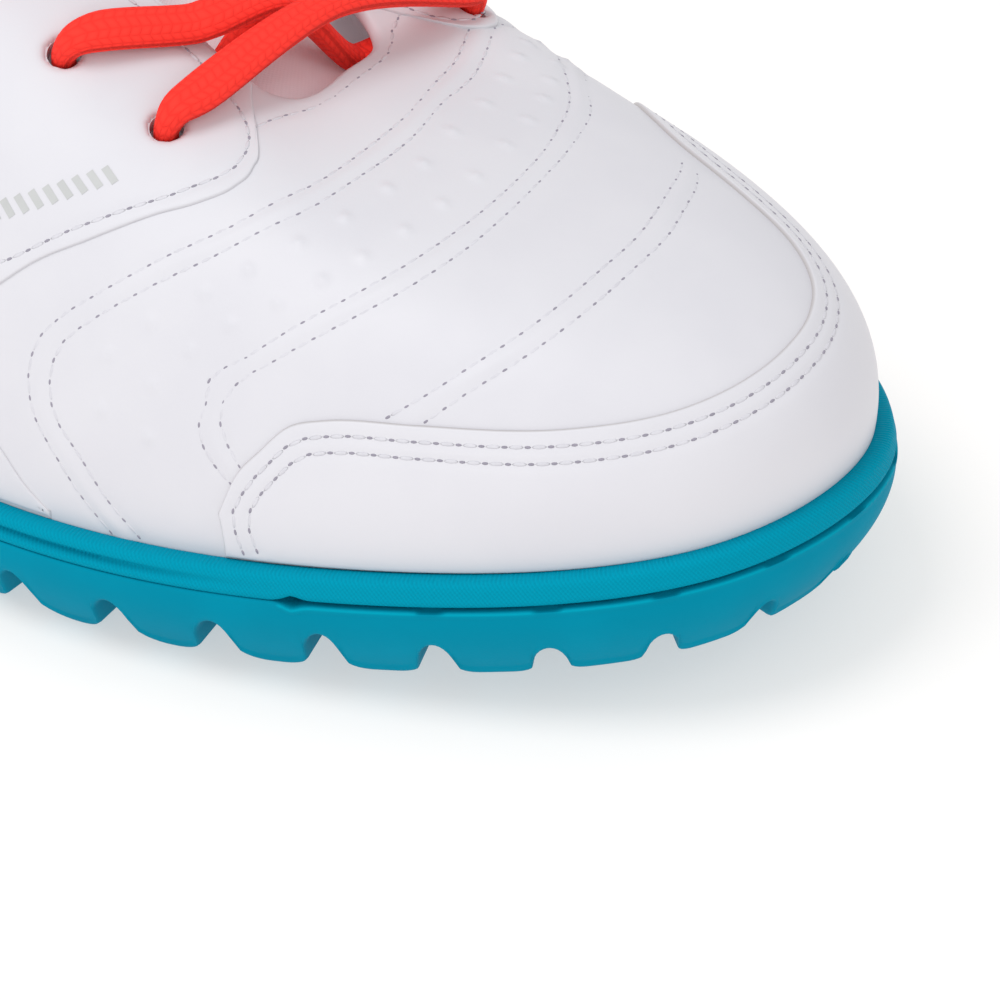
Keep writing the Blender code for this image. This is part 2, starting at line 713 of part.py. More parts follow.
def tongue_sections():
    """Five points across the tongue's upper face for each row, from under the vamp to the free top."""
    rows = []
    for share, down, half in TONGUE_TOE:
        around = 0.508 + np.linspace(-half, half, 5)
        rows.append(wall_point(around, share, -down * MM))
    for along, middle, wing, width in TONGUE_ROWS:
        sides = []
        for side in (-1, 1):
            edge = throat_edge(side, along)
            out = walk_from_edge(edge, width * MM)
            sides.append((wall_point(edge, 1.0, -wing * MM), wall_point(*out, -wing * MM)))
        (edge_l, wing_l), (edge_m, wing_m) = sides
        centre = 0.5 * (profile_point(throat_edge(-1, along), 1.0) + profile_point(throat_edge(1, along), 1.0))
        centre[2] -= middle * MM
        rows.append(np.array([wing_l, edge_l, centre, edge_m, wing_m]))
    for along, half, height, drop in TONGUE_TOP:
        x = (along - 0.5) * LENGTH
        spots = [(-1.0, -1.0), (-0.55, -0.3), (0.0, 0.0), (0.55, -0.3), (1.0, -1.0)]
        rows.append(np.array([(x, (3.0 + a * half) * MM, (height + b * drop) * MM) for a, b in spots]))
    return [through_points(row, 11) for row in rows]


def build_tongue(finish):
    """A padded tongue that lies under the throat and stands free at its top."""
    top = np.array(tongue_sections())
    along = np.gradient(top, axis=0)
    across = np.gradient(top, axis=1)
    down = np.cross(across, along)
    down /= np.linalg.norm(down, axis=-1)[..., None]
    down *= np.where(down[..., 2:] > 0, -1.0, 1.0)
    columns = top.shape[1]
    pad = TONGUE_THICKNESS * np.sqrt(np.clip(1.0 - np.linspace(-0.96, 0.96, columns) ** 4, 0.0, 1.0))
    bottom = top + down * pad[None, :, None]
    return shell_solid("tongue", top, bottom, False, finish)


def lace_nodes():
    """Where the lace meets each hole: place, outward direction and direction to the throat."""
    nodes = []
    for i, pair in enumerate(eyelets()):
        row = []
        for side, (place, outward) in zip((-1, 1), pair):
            edge = profile_point(throat_edge(side, FIRST_EYELET - i * EYELET_PITCH), 1.0)
            inward = edge - place
            inward -= outward * (inward @ outward)
            row.append((place, outward, inward / np.linalg.norm(inward), edge))
        nodes.append(row)
    return nodes


def hole_passage(node, turn):
    """Path points from on top of the eyelet, through it, to beneath the throat's edge: point, up, width, thickness."""
    place, outward, inward, edge = node
    above = OVERLAY_THICKNESS + OVERLAY_GAP + LACE_CLEARANCE + 0.5 * LACE_THICKNESS
    under = UPPER_WALL + LACE_CLEARANCE + 0.5 * LACE_THICKNESS
    hole = LACE_IN_HOLE
    flat, thick = LACE_WIDTH, LACE_THICKNESS
    return [
        (place + inward * 4.5 * MM + outward * (above + 0.1 * MM), turn * outward, flat, thick),
        (place + inward * 1.0 * MM + outward * (above - 0.1 * MM), turn * (outward - inward), 0.7 * flat, 1.1 * thick),
        (place + outward * 0.2 * above, -turn * inward, hole, hole),
        (place - outward * 0.6 * under, -turn * inward, hole, hole),
        (place + inward * 1.2 * MM - outward * (under + 0.3 * MM), -turn * (outward + inward), 0.7 * flat, thick),
        (place + inward * 5.0 * MM - outward * (under + 0.2 * MM), -turn * outward, 0.9 * flat, thick),
        (edge - outward * (under + 0.2 * MM), -turn * outward, flat, thick),
        (edge + inward * 2.4 * MM - outward * (under + 0.1 * MM), -turn * outward, flat, thick),
    ]


def half_lace(nodes, start):
    """Path of one half of the lace from the first eyelet on one side up to its last eyelet."""
    up = np.array([0.0, 0.0, 1.0])
    side, turn, path = start, 1.0, hole_passage(nodes[0][start], 1.0)
    for i in range(1, len(nodes)):
        turn = -turn
        far = nodes[i][1 - side]
        near_edge, far_edge = nodes[i - 1][side][3], far[3]
        lift = (1.1 if (i + start) % 2 else -1.5) * MM
        centre = 0.5 * (near_edge + far_edge) + up * (lift - 0.6 * MM)
        path.append((centre, turn * up, LACE_WIDTH, LACE_THICKNESS))
        above = OVERLAY_THICKNESS + OVERLAY_GAP + LACE_CLEARANCE + 0.6 * LACE_THICKNESS
        path.append((far_edge + far[2] * 2.4 * MM + far[1] * above, turn * far[1], LACE_WIDTH, LACE_THICKNESS))
        path.append((far_edge + far[1] * above, turn * far[1], LACE_WIDTH, LACE_THICKNESS))
        path += hole_passage(far, turn)
        side = 1 - side
    return path[:-3]


def smooth_path(path):
    """Path rows resampled along a smooth curve through their points."""
    rows = np.array([np.concatenate([point, up, [width, thick]]) for point, up, width, thick in path])
    padded = np.vstack([2 * rows[0] - rows[1], rows, 2 * rows[-1] - rows[-2]])
    out = []
    for i in range(1, len(rows)):
        p0, p1, p2, p3 = padded[i - 1:i + 3]
        long_span = np.linalg.norm(p2[:3] - p1[:3]) > 4.0 * MM
        for t in (0.0, 0.5) if long_span else (0.0,):
            out.append(
                0.5 * (2 * p1 + (p2 - p0) * t + (2 * p0 - 5 * p1 + 4 * p2 - p3) * t**2
                       + (3 * p1 - p0 - 3 * p2 + p3) * t**3)
            )
    out.append(rows[-1])
    return np.array(out)


def build_lace(finish):
    """One lace from the last eyelet down one side, straight across the first pair, and up the other side."""
    nodes = lace_nodes()
    lateral, medial = half_lace(nodes, 0), half_lace(nodes, 1)
    above = OVERLAY_THICKNESS + OVERLAY_GAP + LACE_CLEARANCE + 0.6 * LACE_THICKNESS
    bar = []
    for node in (nodes[0][0], nodes[0][1]):
        bar.append((node[3] + node[1] * above, node[1], LACE_WIDTH, LACE_THICKNESS))
    middle = 0.5 * (bar[0][0] + bar[1][0]) + np.array([0.0, 0.0, 0.8 * MM])
    bar.insert(1, (middle, np.array([0.0, 0.0, 1.0]), LACE_WIDTH, LACE_THICKNESS))
    rows = smooth_path(lateral[::-1] + bar + medial)
    centre, up = rows[:, :3], rows[:, 3:6]
    ahead = np.gradient(centre, axis=0)
    ahead /= np.linalg.norm(ahead, axis=1)[:, None]
    side = np.cross(ahead, up)
    side /= np.linalg.norm(side, axis=1)[:, None]
    up = np.cross(side, ahead)
    turns = np.arange(6) * math.tau / 6
    rings = (
        centre[:, None, :]
        + side[:, None, :] * (0.5 * rows[:, 6, None] * np.cos(turns)[None, :])[..., None]
        + up[:, None, :] * (0.5 * rows[:, 7, None] * np.sin(turns)[None, :])[..., None]
    )
    count = len(turns)
    points = rings.reshape(-1, 3)
    faces = [tuple(reversed(f)) for f in grid_faces(len(rings), count, True)]
    faces.append(tuple(range(count)))
    faces.append(tuple(range(len(points) - 1, len(points) - 1 - count, -1)))
    return add_object("lace", points, faces, finish)


def main():
    """Clears the scene and builds every piece."""
    for old in list(bpy.data.objects):
        bpy.data.objects.remove(old)
    rubber = material("outsole_rubber", (0.0, 0.30, 0.42), 0.55)
    foam = material("midsole_foam", (0.0, 0.34, 0.47), 0.6)
    leather = material("white_leather", (0.86, 0.86, 0.89), 0.45)
    fabric = material("insole_fabric", (0.12, 0.12, 0.13), 0.8)
    build_outsole(rubber)
    build_midsole(foam)
    build_insole(fabric)
    build_upper(leather)
    build_overlays(leather)
    build_tongue(material("tongue_fabric", (0.83, 0.80, 0.84), 0.7))
    build_lace(material("lace_fabric", (1.0, 0.07, 0.04), 0.7))


main()
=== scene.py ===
"""Looks of a turf football shoe for the right foot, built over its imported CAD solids.

Metres, +Z up, +X to the toe, -Y to the outer (lateral) side. Around the shoe, 0 is the middle of the heel and the
shares run up the lateral side to the toe and back down the medial side to 1. On the upper, share 0 is at the sole's
rim and share 1 at the edge of collar and throat.
"""

import logging
import math
from dataclasses import dataclass, field
from enum import Enum

import bpy
import numpy as np
from mathutils import Matrix, Vector
from mathutils.kdtree import KDTree


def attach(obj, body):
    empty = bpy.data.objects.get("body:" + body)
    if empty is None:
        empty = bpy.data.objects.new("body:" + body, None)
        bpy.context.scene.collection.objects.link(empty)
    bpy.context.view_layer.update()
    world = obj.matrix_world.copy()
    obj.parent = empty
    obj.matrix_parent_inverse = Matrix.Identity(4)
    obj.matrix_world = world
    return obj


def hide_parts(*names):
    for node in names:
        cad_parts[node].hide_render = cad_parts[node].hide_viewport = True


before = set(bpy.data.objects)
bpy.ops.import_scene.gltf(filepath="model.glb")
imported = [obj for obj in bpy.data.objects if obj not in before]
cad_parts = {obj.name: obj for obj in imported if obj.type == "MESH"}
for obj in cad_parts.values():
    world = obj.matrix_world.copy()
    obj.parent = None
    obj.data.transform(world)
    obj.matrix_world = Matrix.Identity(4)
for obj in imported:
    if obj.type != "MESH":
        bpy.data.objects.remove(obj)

MM = 0.001
LOG = logging.getLogger("turf_shoe")

# The sole's widest outline, heel to toe: along as a share of the length; lateral side as shares of ball and heel
# width; medial side as shares of ball and heel width.
OUTLINE = (
    (0.022, 0.000, 0.205, 0.000, 0.205),
    (0.060, 0.000, 0.360, 0.000, 0.352),
    (0.120, 0.000, 0.462, 0.000, 0.440),
    (0.210, 0.000, 0.502, 0.000, 0.452),
    (0.310, 0.130, 0.352, 0.105, 0.295),
    (0.410, 0.280, 0.196, 0.212, 0.150),
    (0.500, 0.436, 0.032, 0.330, 0.030),
    (0.580, 0.480, 0.000, 0.402, 0.000),
    (0.650, 0.499, 0.000, 0.456, 0.000),
    (0.715, 0.490, 0.000, 0.489, 0.000),
    (0.775, 0.456, 0.000, 0.500, 0.000),
    (0.830, 0.404, 0.000, 0.486, 0.000),
    (0.880, 0.340, 0.000, 0.449, 0.000),
    (0.925, 0.268, 0.000, 0.391, 0.000),
    (0.958, 0.196, 0.000, 0.322, 0.000),
    (0.984, 0.108, 0.000, 0.236, 0.000),
)

# The edge of collar and throat: share around, along, across, height as shares of instep and of collar height.
OPENING = (
    (0.000, 0.034, 0.000, 0.000, 1.000),
    (0.045, 0.066, -0.170, 0.000, 0.975),
    (0.090, 0.132, -0.268, 0.000, 0.850),
    (0.135, 0.205, -0.300, 0.000, 0.760),
    (0.180, 0.280, -0.290, 0.150, 0.600),
    (0.215, 0.345, -0.248, 0.470, 0.400),
    (0.245, 0.400, -0.170, 0.830, 0.060),
    (0.285, 0.475, -0.135, 0.797, 0.000),
    (0.330, 0.560, -0.105, 0.712, 0.000),
    (0.375, 0.640, -0.076, 0.602, 0.000),
    (0.415, 0.697, -0.056, 0.503, 0.000),
    (0.442, 0.727, -0.046, 0.456, 0.000),
    (0.460, 0.737, -0.020, 0.442, 0.000),
    (0.505, 0.736, 0.075, 0.438, 0.000),
    (0.548, 0.726, 0.165, 0.430, 0.000),
    (0.568, 0.712, 0.192, 0.440, 0.000),
    (0.595, 0.686, 0.198, 0.486, 0.000),
    (0.632, 0.640, 0.196, 0.586, 0.000),
    (0.675, 0.560, 0.193, 0.706, 0.000),
    (0.718, 0.475, 0.192, 0.795, 0.000),
    (0.757, 0.400, 0.205, 0.830, 0.060),
    (0.788, 0.345, 0.250, 0.470, 0.400),
    (0.823, 0.280, 0.284, 0.150, 0.620),
    (0.867, 0.205, 0.290, 0.000, 0.790),
    (0.911, 0.132, 0.256, 0.000, 0.870),
    (0.955, 0.066, 0.165, 0.000, 0.980),
)

# How each profile of the upper rises: share around, rise, lean out, upper handle along, across, up.
PROFILE = (
    (0.000, 0.300, 0.030, 0.008, 0.000, -0.300),
    (0.090, 0.290, 0.014, 0.000, -0.050, -0.260),
    (0.180, 0.270, 0.000, 0.006, -0.080, -0.240),
    (0.245, 0.270, -0.005, 0.010, -0.150, -0.260),
    (0.330, 0.260, 0.000, 0.006, -0.200, -0.150),
    (0.400, 0.250, 0.014, 0.016, -0.205, -0.050),
    (0.452, 0.290, 0.036, 0.070, -0.140, -0.040),
    (0.505, 0.330, 0.058, 0.120, 0.020, -0.080),
    (0.558, 0.290, 0.036, 0.070, 0.110, -0.060),
    (0.610, 0.250, 0.012, 0.016, 0.130, -0.060),
    (0.675, 0.260, 0.000, 0.006, 0.150, -0.130),
    (0.757, 0.280, -0.005, 0.010, 0.150, -0.240),
    (0.823, 0.280, -0.006, 0.006, 0.080, -0.240),
    (0.911, 0.290, 0.014, 0.000, 0.050, -0.260),
)

# Edges and seams on the upper, each as rows of share around and share up.
GUARD_EDGE = (
    (0.384, 0.090), (0.389, 0.155), (0.397, 0.215), (0.405, 0.262), (0.413, 0.280), (0.431, 0.285), (0.457, 0.268),
    (0.479, 0.262), (0.494, 0.271), (0.506, 0.285), (0.516, 0.300), (0.527, 0.332), (0.535, 0.378), (0.543, 0.455),
    (0.553, 0.520), (0.568, 0.530), (0.585, 0.480), (0.602, 0.390), (0.617, 0.280), (0.627, 0.180), (0.632, 0.090),
)
# The guard's stitched border: its edge with both ends taken down to the sole, and how far in its rows lie, in mm.
GUARD_BORDER = ((0.385, 0.012), (0.384, 0.050), *GUARD_EDGE, (0.632, 0.050), (0.632, 0.012))
GUARD_ROWS = (1.9, 3.8)
QUARTER_EDGE = (
    (0.130, 0.030), (0.170, 0.030), (0.230, 0.045), (0.270, 0.090), (0.300, 0.160), (0.322, 0.240), (0.340, 0.330),
    (0.358, 0.421), (0.374, 0.487), (0.394, 0.571), (0.408, 0.629), (0.420, 0.695), (0.428, 0.760), (0.433, 0.830),
    (0.435, 0.900),
)
COUNTER_EDGE = (
    (-0.112, 0.180), (-0.100, 0.330), (-0.075, 0.470), (-0.040, 0.540), (0.000, 0.560), (0.040, 0.540),
    (0.075, 0.470), (0.100, 0.330), (0.112, 0.180),
)
WAIST_EDGE = (
    (0.180, 0.200), (0.240, 0.220), (0.290, 0.245), (0.318, 0.235), (0.330, 0.165), (0.337, 0.104), (0.341, 0.058),
    (0.347, 0.012),
)
SEAM_FRONT_BACK = (
    (0.426, 0.296), (0.438, 0.350), (0.448, 0.396), (0.459, 0.442), (0.474, 0.500), (0.488, 0.542), (0.503, 0.567),
    (0.514, 0.579), (0.526, 0.579), (0.543, 0.554),
)
SEAM_FRONT_TOE = (
    (0.433, 0.292), (0.444, 0.346), (0.455, 0.392), (0.465, 0.433), (0.480, 0.487), (0.495, 0.525), (0.509, 0.542),
    (0.520, 0.550), (0.541, 0.533),
)
SEAM_MIDDLE_BACK = (
    (0.388, 0.146), (0.385, 0.190), (0.385, 0.233), (0.388, 0.267), (0.392, 0.321), (0.401, 0.362), (0.413, 0.421),
    (0.431, 0.508), (0.449, 0.592), (0.469, 0.671), (0.491, 0.725), (0.514, 0.746), (0.532, 0.742), (0.550, 0.713),
    (0.572, 0.655), (0.592, 0.575), (0.610, 0.470), (0.624, 0.350), (0.635, 0.230), (0.641, 0.120), (0.643, 0.020),
)
SEAM_MIDDLE_TOE = (
    (0.391, 0.179), (0.390, 0.225), (0.391, 0.267), (0.397, 0.317), (0.409, 0.375), (0.426, 0.454), (0.444, 0.537),
    (0.465, 0.625), (0.485, 0.688), (0.509, 0.721), (0.533, 0.713), (0.551, 0.679), (0.570, 0.630), (0.588, 0.552),
    (0.605, 0.452), (0.619, 0.340), (0.631, 0.205),
)
SEAM_REAR_BACK = (
    (0.360, 0.004), (0.354, 0.067), (0.350, 0.125), (0.347, 0.183), (0.348, 0.242), (0.353, 0.304), (0.361, 0.354),
    (0.372, 0.408), (0.390, 0.492), (0.413, 0.600), (0.438, 0.742), (0.467, 0.862), (0.501, 0.904), (0.544, 0.896),
    (0.569, 0.829), (0.598, 0.683), (0.618, 0.545), (0.636, 0.400), (0.650, 0.250), (0.656, 0.120), (0.658, 0.010),
)
SEAM_REAR_TOE = (
    (0.366, 0.008), (0.360, 0.071), (0.356, 0.133), (0.352, 0.205), (0.355, 0.275), (0.359, 0.312), (0.369, 0.367),
    (0.385, 0.442), (0.408, 0.546), (0.433, 0.679), (0.460, 0.808), (0.492, 0.871), (0.532, 0.879), (0.569, 0.792),
    (0.593, 0.675), (0.612, 0.540), (0.630, 0.395), (0.644, 0.250), (0.650, 0.120), (0.652, 0.010),
)
QUARTER_ROW = (
    (0.290, 0.185), (0.313, 0.255), (0.334, 0.345), (0.351, 0.408), (0.368, 0.483), (0.386, 0.558), (0.406, 0.646),
    (0.422, 0.738), (0.428, 0.796), (0.431, 0.850), (0.430, 0.892), (0.425, 0.925),
    (0.414, 0.948), (0.400, 0.957), (0.375, 0.962), (0.340, 0.963), (0.300, 0.963), (0.265, 0.962),
)
THROAT_ROW = (
    (0.434, 0.879), (0.440, 0.917), (0.449, 0.954), (0.462, 0.976), (0.485, 0.984), (0.510, 0.986), (0.535, 0.986),
    (0.549, 0.983), (0.562, 0.971), (0.573, 0.933), (0.583, 0.887),
)
DOTS_UPPER = (
    (0.370, 0.317), (0.383, 0.388), (0.399, 0.462), (0.413, 0.529), (0.430, 0.617), (0.447, 0.704), (0.465, 0.779),
    (0.482, 0.817), (0.503, 0.846), (0.528, 0.842), (0.551, 0.808), (0.572, 0.729), (0.590, 0.636), (0.607, 0.530),
    (0.622, 0.420), (0.635, 0.310),
)
DOTS_LOWER = (
    (0.364, 0.225), (0.378, 0.287), (0.390, 0.358), (0.402, 0.417), (0.416, 0.479), (0.430, 0.546), (0.444, 0.617),
    (0.459, 0.683), (0.474, 0.733), (0.490, 0.767), (0.510, 0.787), (0.529, 0.783), (0.547, 0.754), (0.562, 0.713),
    (0.582, 0.625), (0.600, 0.522), (0.615, 0.415), (0.628, 0.300), (0.373, 0.200),
)
TICK_LINE = ((0.330, 0.400), (0.340, 0.432), (0.352, 0.475), (0.368, 0.537), (0.385, 0.608))

# The tongue from under the vamp to its free top, sizes in mm. Under the vamp: share up, depth and half width as a
# share around. Under the throat: place along, depth of the middle and of the wings, width past the throat's edge. At
# the top: place along, half width, height, and the drop of its sides.
# The rows are the solid's own, but for the middle, which lies up to 2.2 mm higher here.
TONGUE_TOE = ((0.800, 3.2, 0.040), (0.900, 4.4, 0.044))
TONGUE_ROWS = (
    (0.710, 4.3, 7.0, 9.0), (0.680, 4.2, 7.0, 10.0), (0.640, 4.2, 7.0, 11.0), (0.580, 4.2, 7.0, 11.0),
    (0.520, 4.4, 7.0, 11.0), (0.470, 5.0, 7.0, 10.0), (0.430, 6.0, 7.0, 7.0),
)
TONGUE_TOP = (
    (0.392, 15.0, 99.5, 3.5), (0.370, 17.0, 106.0, 3.5), (0.345, 23.0, 112.0, 4.5), (0.328, 20.0, 115.0, 4.0),
)
# Length round the lace in its UV map, in mm.
LACE_ROUND = 12.5
# Name, place, diameter and power of each light.
LIGHTS = (
    ("key_light", (-0.25, -0.55, 1.5), 0.9, 10.0),
    ("front_light", (0.6, -1.3, 0.35), 0.8, 4.0),
    ("side_light", (1.2, 0.5, 0.9), 1.0, 2.5),
)


class Side(Enum):
    """The outer and the inner side of the shoe."""

    LATERAL = 0
    MEDIAL = 1


class Form(Enum):
    """Shapes that are repeated over a surface."""

    BEAD = "bead"
    SLAB = "slab"
    PEG = "peg"


def smooth_step(value: np.ndarray) -> np.ndarray:
    """0 below 0, 1 above 1, and an even turn between."""
    value = np.clip(value, 0.0, 1.0)
    return value * value * (3.0 - 2.0 * value)


def hermite(
    u: np.ndarray, width: np.ndarray, low: np.ndarray, high: np.ndarray,
    slope_low: np.ndarray, slope_high: np.ndarray,
) -> np.ndarray:
    """A cubic at share u between two rows, a width apart, with a slope at each."""
    return (
        (2 * u**3 - 3 * u**2 + 1) * low
        + (u**3 - 2 * u**2 + u) * width * slope_low
        + (-2 * u**3 + 3 * u**2) * high
        + (u**3 - u**2) * width * slope_high
    )


def closed_spline(knots: list, values: list, at: np.ndarray) -> np.ndarray:
    """A smooth closed curve through rows of values.

    Args:
        knots: one share in 0 to 1 for each row.
        values: the rows.
        at: the shares wanted.

    Returns:
        One row for each share wanted.
    """
    knots = np.asarray(knots, float)
    values = np.asarray(values, float).reshape(len(knots), -1)
    count = len(knots)
    step = np.diff(np.append(knots, knots[0] + 1.0))
    before = np.roll(step, 1)
    system = np.zeros((count, count))
    ahead_values, behind_values = np.roll(values, -1, axis=0), np.roll(values, 1, axis=0)
    for i in range(count):
        system[i, i] = 2.0 * (before[i] + step[i])
        system[i, (i - 1) % count] += step[i]
        system[i, (i + 1) % count] += before[i]
    ratio_before, ratio_step = (before / step)[:, None], (step / before)[:, None]
    right = 3.0 * (ratio_before * (ahead_values - values) + ratio_step * (values - behind_values))
    slope = np.linalg.solve(system, right)
    place = (np.asarray(at, float) - knots[0]) % 1.0 + knots[0]
    low = np.clip(np.searchsorted(knots, place, side="right") - 1, 0, count - 1)
    high = (low + 1) % count
    width = step[low][..., None]
    u = ((place - knots[low]) / step[low])[..., None]
    return hermite(u, width, values[low], values[high], slope[low], slope[high])


def open_spline(knots: np.ndarray, values: np.ndarray, at: np.ndarray) -> np.ndarray:
    """A smooth open curve through rows of values, its slopes taken from the neighbouring rows.

    Args:
        knots: rising places of the rows.
        values: the rows.
        at: the places wanted.

    Returns:
        One row for each place wanted.
    """
    knots = np.asarray(knots, float)
    values = np.asarray(values, float).reshape(len(knots), -1)
    slope = np.gradient(values, knots, axis=0)
    at = np.clip(np.asarray(at, float), knots[0], knots[-1])
    low = np.clip(np.searchsorted(knots, at, side="right") - 1, 0, len(knots) - 2)
    width = (knots[low + 1] - knots[low])[..., None]
    u = ((at - knots[low]) / width[..., 0])[..., None]
    return hermite(u, width, values[low], values[low + 1], slope[low], slope[low + 1])


def unit(vectors: np.ndarray) -> np.ndarray:
    """Vectors brought to length 1."""
    return vectors / np.maximum(np.linalg.norm(vectors, axis=-1, keepdims=True), 1e-12)


def lengths_along(points: np.ndarray) -> np.ndarray:
    """Length from the first point to each point of a path."""
    return np.concatenate([[0.0], np.cumsum(np.linalg.norm(np.diff(points, axis=0), axis=1))])


def resample(length: np.ndarray, rows: np.ndarray, at: np.ndarray) -> np.ndarray:
    """Rows at wanted lengths along a path."""
    return np.column_stack([np.interp(at, length, column) for column in rows.T])


def link_new(name: str, data: bpy.types.ID) -> bpy.types.Object:
    """A new object at the origin of the scene."""
    made = bpy.data.objects.new(name, data)
    bpy.context.scene.collection.objects.link(made)
    return made


@dataclass
class Last:
    """The form the shoe is made on: the sole's outline, the heights along it and the upper's outer face."""

    length: float = 290.0 * MM
    ball_width: float = 100.0 * MM
    heel_width: float = 74.0 * MM
    sole_height: float = 15.6 * MM
    heel_lift: float = 7.0 * MM
    toe_spring: float = 8.5 * MM
    spring_length: float = 90.0 * MM
    waist_lift: float = 1.6 * MM
    parting_height: float = 12.2 * MM
    lug_height: float = 5.2 * MM
    rim_lip: float = 3.3 * MM
    gap: float = 0.3 * MM
    instep_height: float = 88.0 * MM
    collar_height: float = 66.0 * MM
    toe_tip_across: float = 0.066
    shares: np.ndarray = field(init=False, repr=False)
    ring: np.ndarray = field(init=False, repr=False)
    outward: np.ndarray = field(init=False, repr=False)
    girth: float = field(init=False)

    def __post_init__(self) -> None:
        """Samples the outline closely and measures it."""
        ball, heel = self.ball_width, self.heel_width
        lateral = [(a, -(b * ball + h * heel)) for a, b, h, _, _ in OUTLINE]
        medial = [(a, b * ball + h * heel) for a, _, _, b, h in reversed(OUTLINE)]
        rows = [(0.0, 0.0), *lateral, (1.0, self.toe_tip_across * ball), *medial]
        knots_xy = np.array([((along - 0.5) * self.length, across) for along, across in rows])
        chord = np.linalg.norm(np.diff(np.vstack([knots_xy, knots_xy[:1]]), axis=0), axis=1)
        knots = np.concatenate([[0.0], np.cumsum(chord)[:-1]]) / chord.sum()
        fine = closed_spline(knots, knots_xy, np.linspace(0.0, 1.0, 1441)[:-1])
        steps = np.linalg.norm(np.diff(np.vstack([fine, fine[:1]]), axis=0), axis=1)
        ahead = unit(np.roll(fine, -1, axis=0) - np.roll(fine, 1, axis=0))
        self.girth = float(steps.sum())
        self.shares = np.concatenate([[0.0], np.cumsum(steps)[:-1]]) / self.girth
        self.ring = fine
        self.outward = np.stack([ahead[:, 1], -ahead[:, 0]], axis=1)

    def on_outline(self, around: np.ndarray, inset: float | np.ndarray = 0.0) -> np.ndarray:
        """Plan points at shares around the outline, moved inwards by inset."""
        around = np.asarray(around, float) % 1.0
        both = np.hstack([self.ring, self.outward])
        knots = np.append(self.shares, 1.0)
        at = np.stack([np.interp(around, knots, np.append(c, c[0])) for c in both.T], axis=-1)
        return at[..., :2] - np.asarray(inset)[..., None] * at[..., 2:]

    def spring(self, x: np.ndarray) -> np.ndarray:
        """Height of the lugs' feet over the floor."""
        toe = np.clip((self.spring_length - (0.5 * self.length - x)) / self.spring_length, 0.0, 1.0)
        share = x / self.length + 0.5
        waist = smooth_step((share - 0.36) / 0.06) * smooth_step((0.60 - share) / 0.06)
        return self.toe_spring * toe**2 + self.waist_lift * waist

    def rim(self, x: np.ndarray) -> np.ndarray:
        """Top of the midsole's rim."""
        rise = self.heel_lift * smooth_step((0.68 - (x / self.length + 0.5)) / 0.30)
        return self.sole_height + self.spring(x) + rise

    def parting(self, x: np.ndarray) -> np.ndarray:
        """Height of the joint between outsole and midsole."""
        return self.parting_height + self.spring(x)

    def point(self, around: np.ndarray, share: np.ndarray) -> np.ndarray:
        """Points of the upper's outer face."""
        around, share = np.broadcast_arrays(np.asarray(around, float), np.asarray(share, float))
        inset = self.rim_lip + self.gap
        plan = self.on_outline(around, inset)
        base = np.concatenate([plan, self.rim(plan[..., :1])], axis=-1)
        outward = unit(plan - self.on_outline(around, inset + 1.0 * MM))
        edge = closed_spline([r[0] for r in OPENING], [r[1:] for r in OPENING], around)
        edge_x = (edge[..., 0] - 0.5) * self.length
        edge_z = self.rim(edge_x) + edge[..., 2] * self.instep_height + edge[..., 3] * self.collar_height
        top = np.stack([edge_x, edge[..., 1] * self.ball_width, edge_z], axis=-1)
        form = closed_spline([r[0] for r in PROFILE], [r[1:] for r in PROFILE], around)
        low = base.copy()
        low[..., :2] += outward * (form[..., 1] * self.ball_width)[..., None]
        low[..., 2] += form[..., 0] * self.instep_height
        high = top + form[..., 2:] * np.array([self.length, self.ball_width, self.instep_height])
        u = share[..., None]
        return (1 - u) ** 3 * base + 3 * (1 - u) ** 2 * u * low + 3 * (1 - u) * u**2 * high + u**3 * top

    def slopes(self, around: np.ndarray, share: np.ndarray) -> tuple[np.ndarray, np.ndarray]:
        """How the outer face moves with each share, for one whole unit of it."""
        step = 1e-4
        along = (self.point(around + step, share) - self.point(around - step, share)) / (2 * step)
        inner, outer = np.clip(share - step, 0.0, 1.0), np.clip(share + step, 0.0, 1.0)
        up = (self.point(around, outer) - self.point(around, inner)) / (outer - inner)[..., None]
        return along, up

    def normal(self, around: np.ndarray, share: np.ndarray) -> np.ndarray:
        """Outward unit normals of the upper's outer face."""
        around, share = np.broadcast_arrays(np.asarray(around, float), np.asarray(share, float))
        along, up = self.slopes(around, share)
        return unit(np.cross(along, up))

    def wall(self, around: np.ndarray, share: np.ndarray, out: float | np.ndarray = 0.0) -> np.ndarray:
        """Points a distance out from the upper's outer face."""
        around, share = np.broadcast_arrays(np.asarray(around, float), np.asarray(share, float))
        return self.point(around, share) + self.normal(around, share) * np.asarray(out)[..., None]

    def shift(self, line: np.ndarray, distance: float) -> np.ndarray:
        """A line on the upper moved sideways over its face.

        Args:
            line: rows of share around and share up.
            distance: to the left of the line's direction seen from outside.

        Returns:
            The moved rows.
        """
        points = self.point(*line.T)
        ahead = unit(np.gradient(points, axis=0))
        along, up = self.slopes(*line.T)
        aside = np.cross(unit(np.cross(along, up)), ahead) * distance
        aa, au, uu = (along**2).sum(-1), (along * up).sum(-1), (up**2).sum(-1)
        da, du = (aside * along).sum(-1), (aside * up).sum(-1)
        det = aa * uu - au**2
        return line + np.column_stack([(da * uu - du * au) / det, (du * aa - da * au) / det])

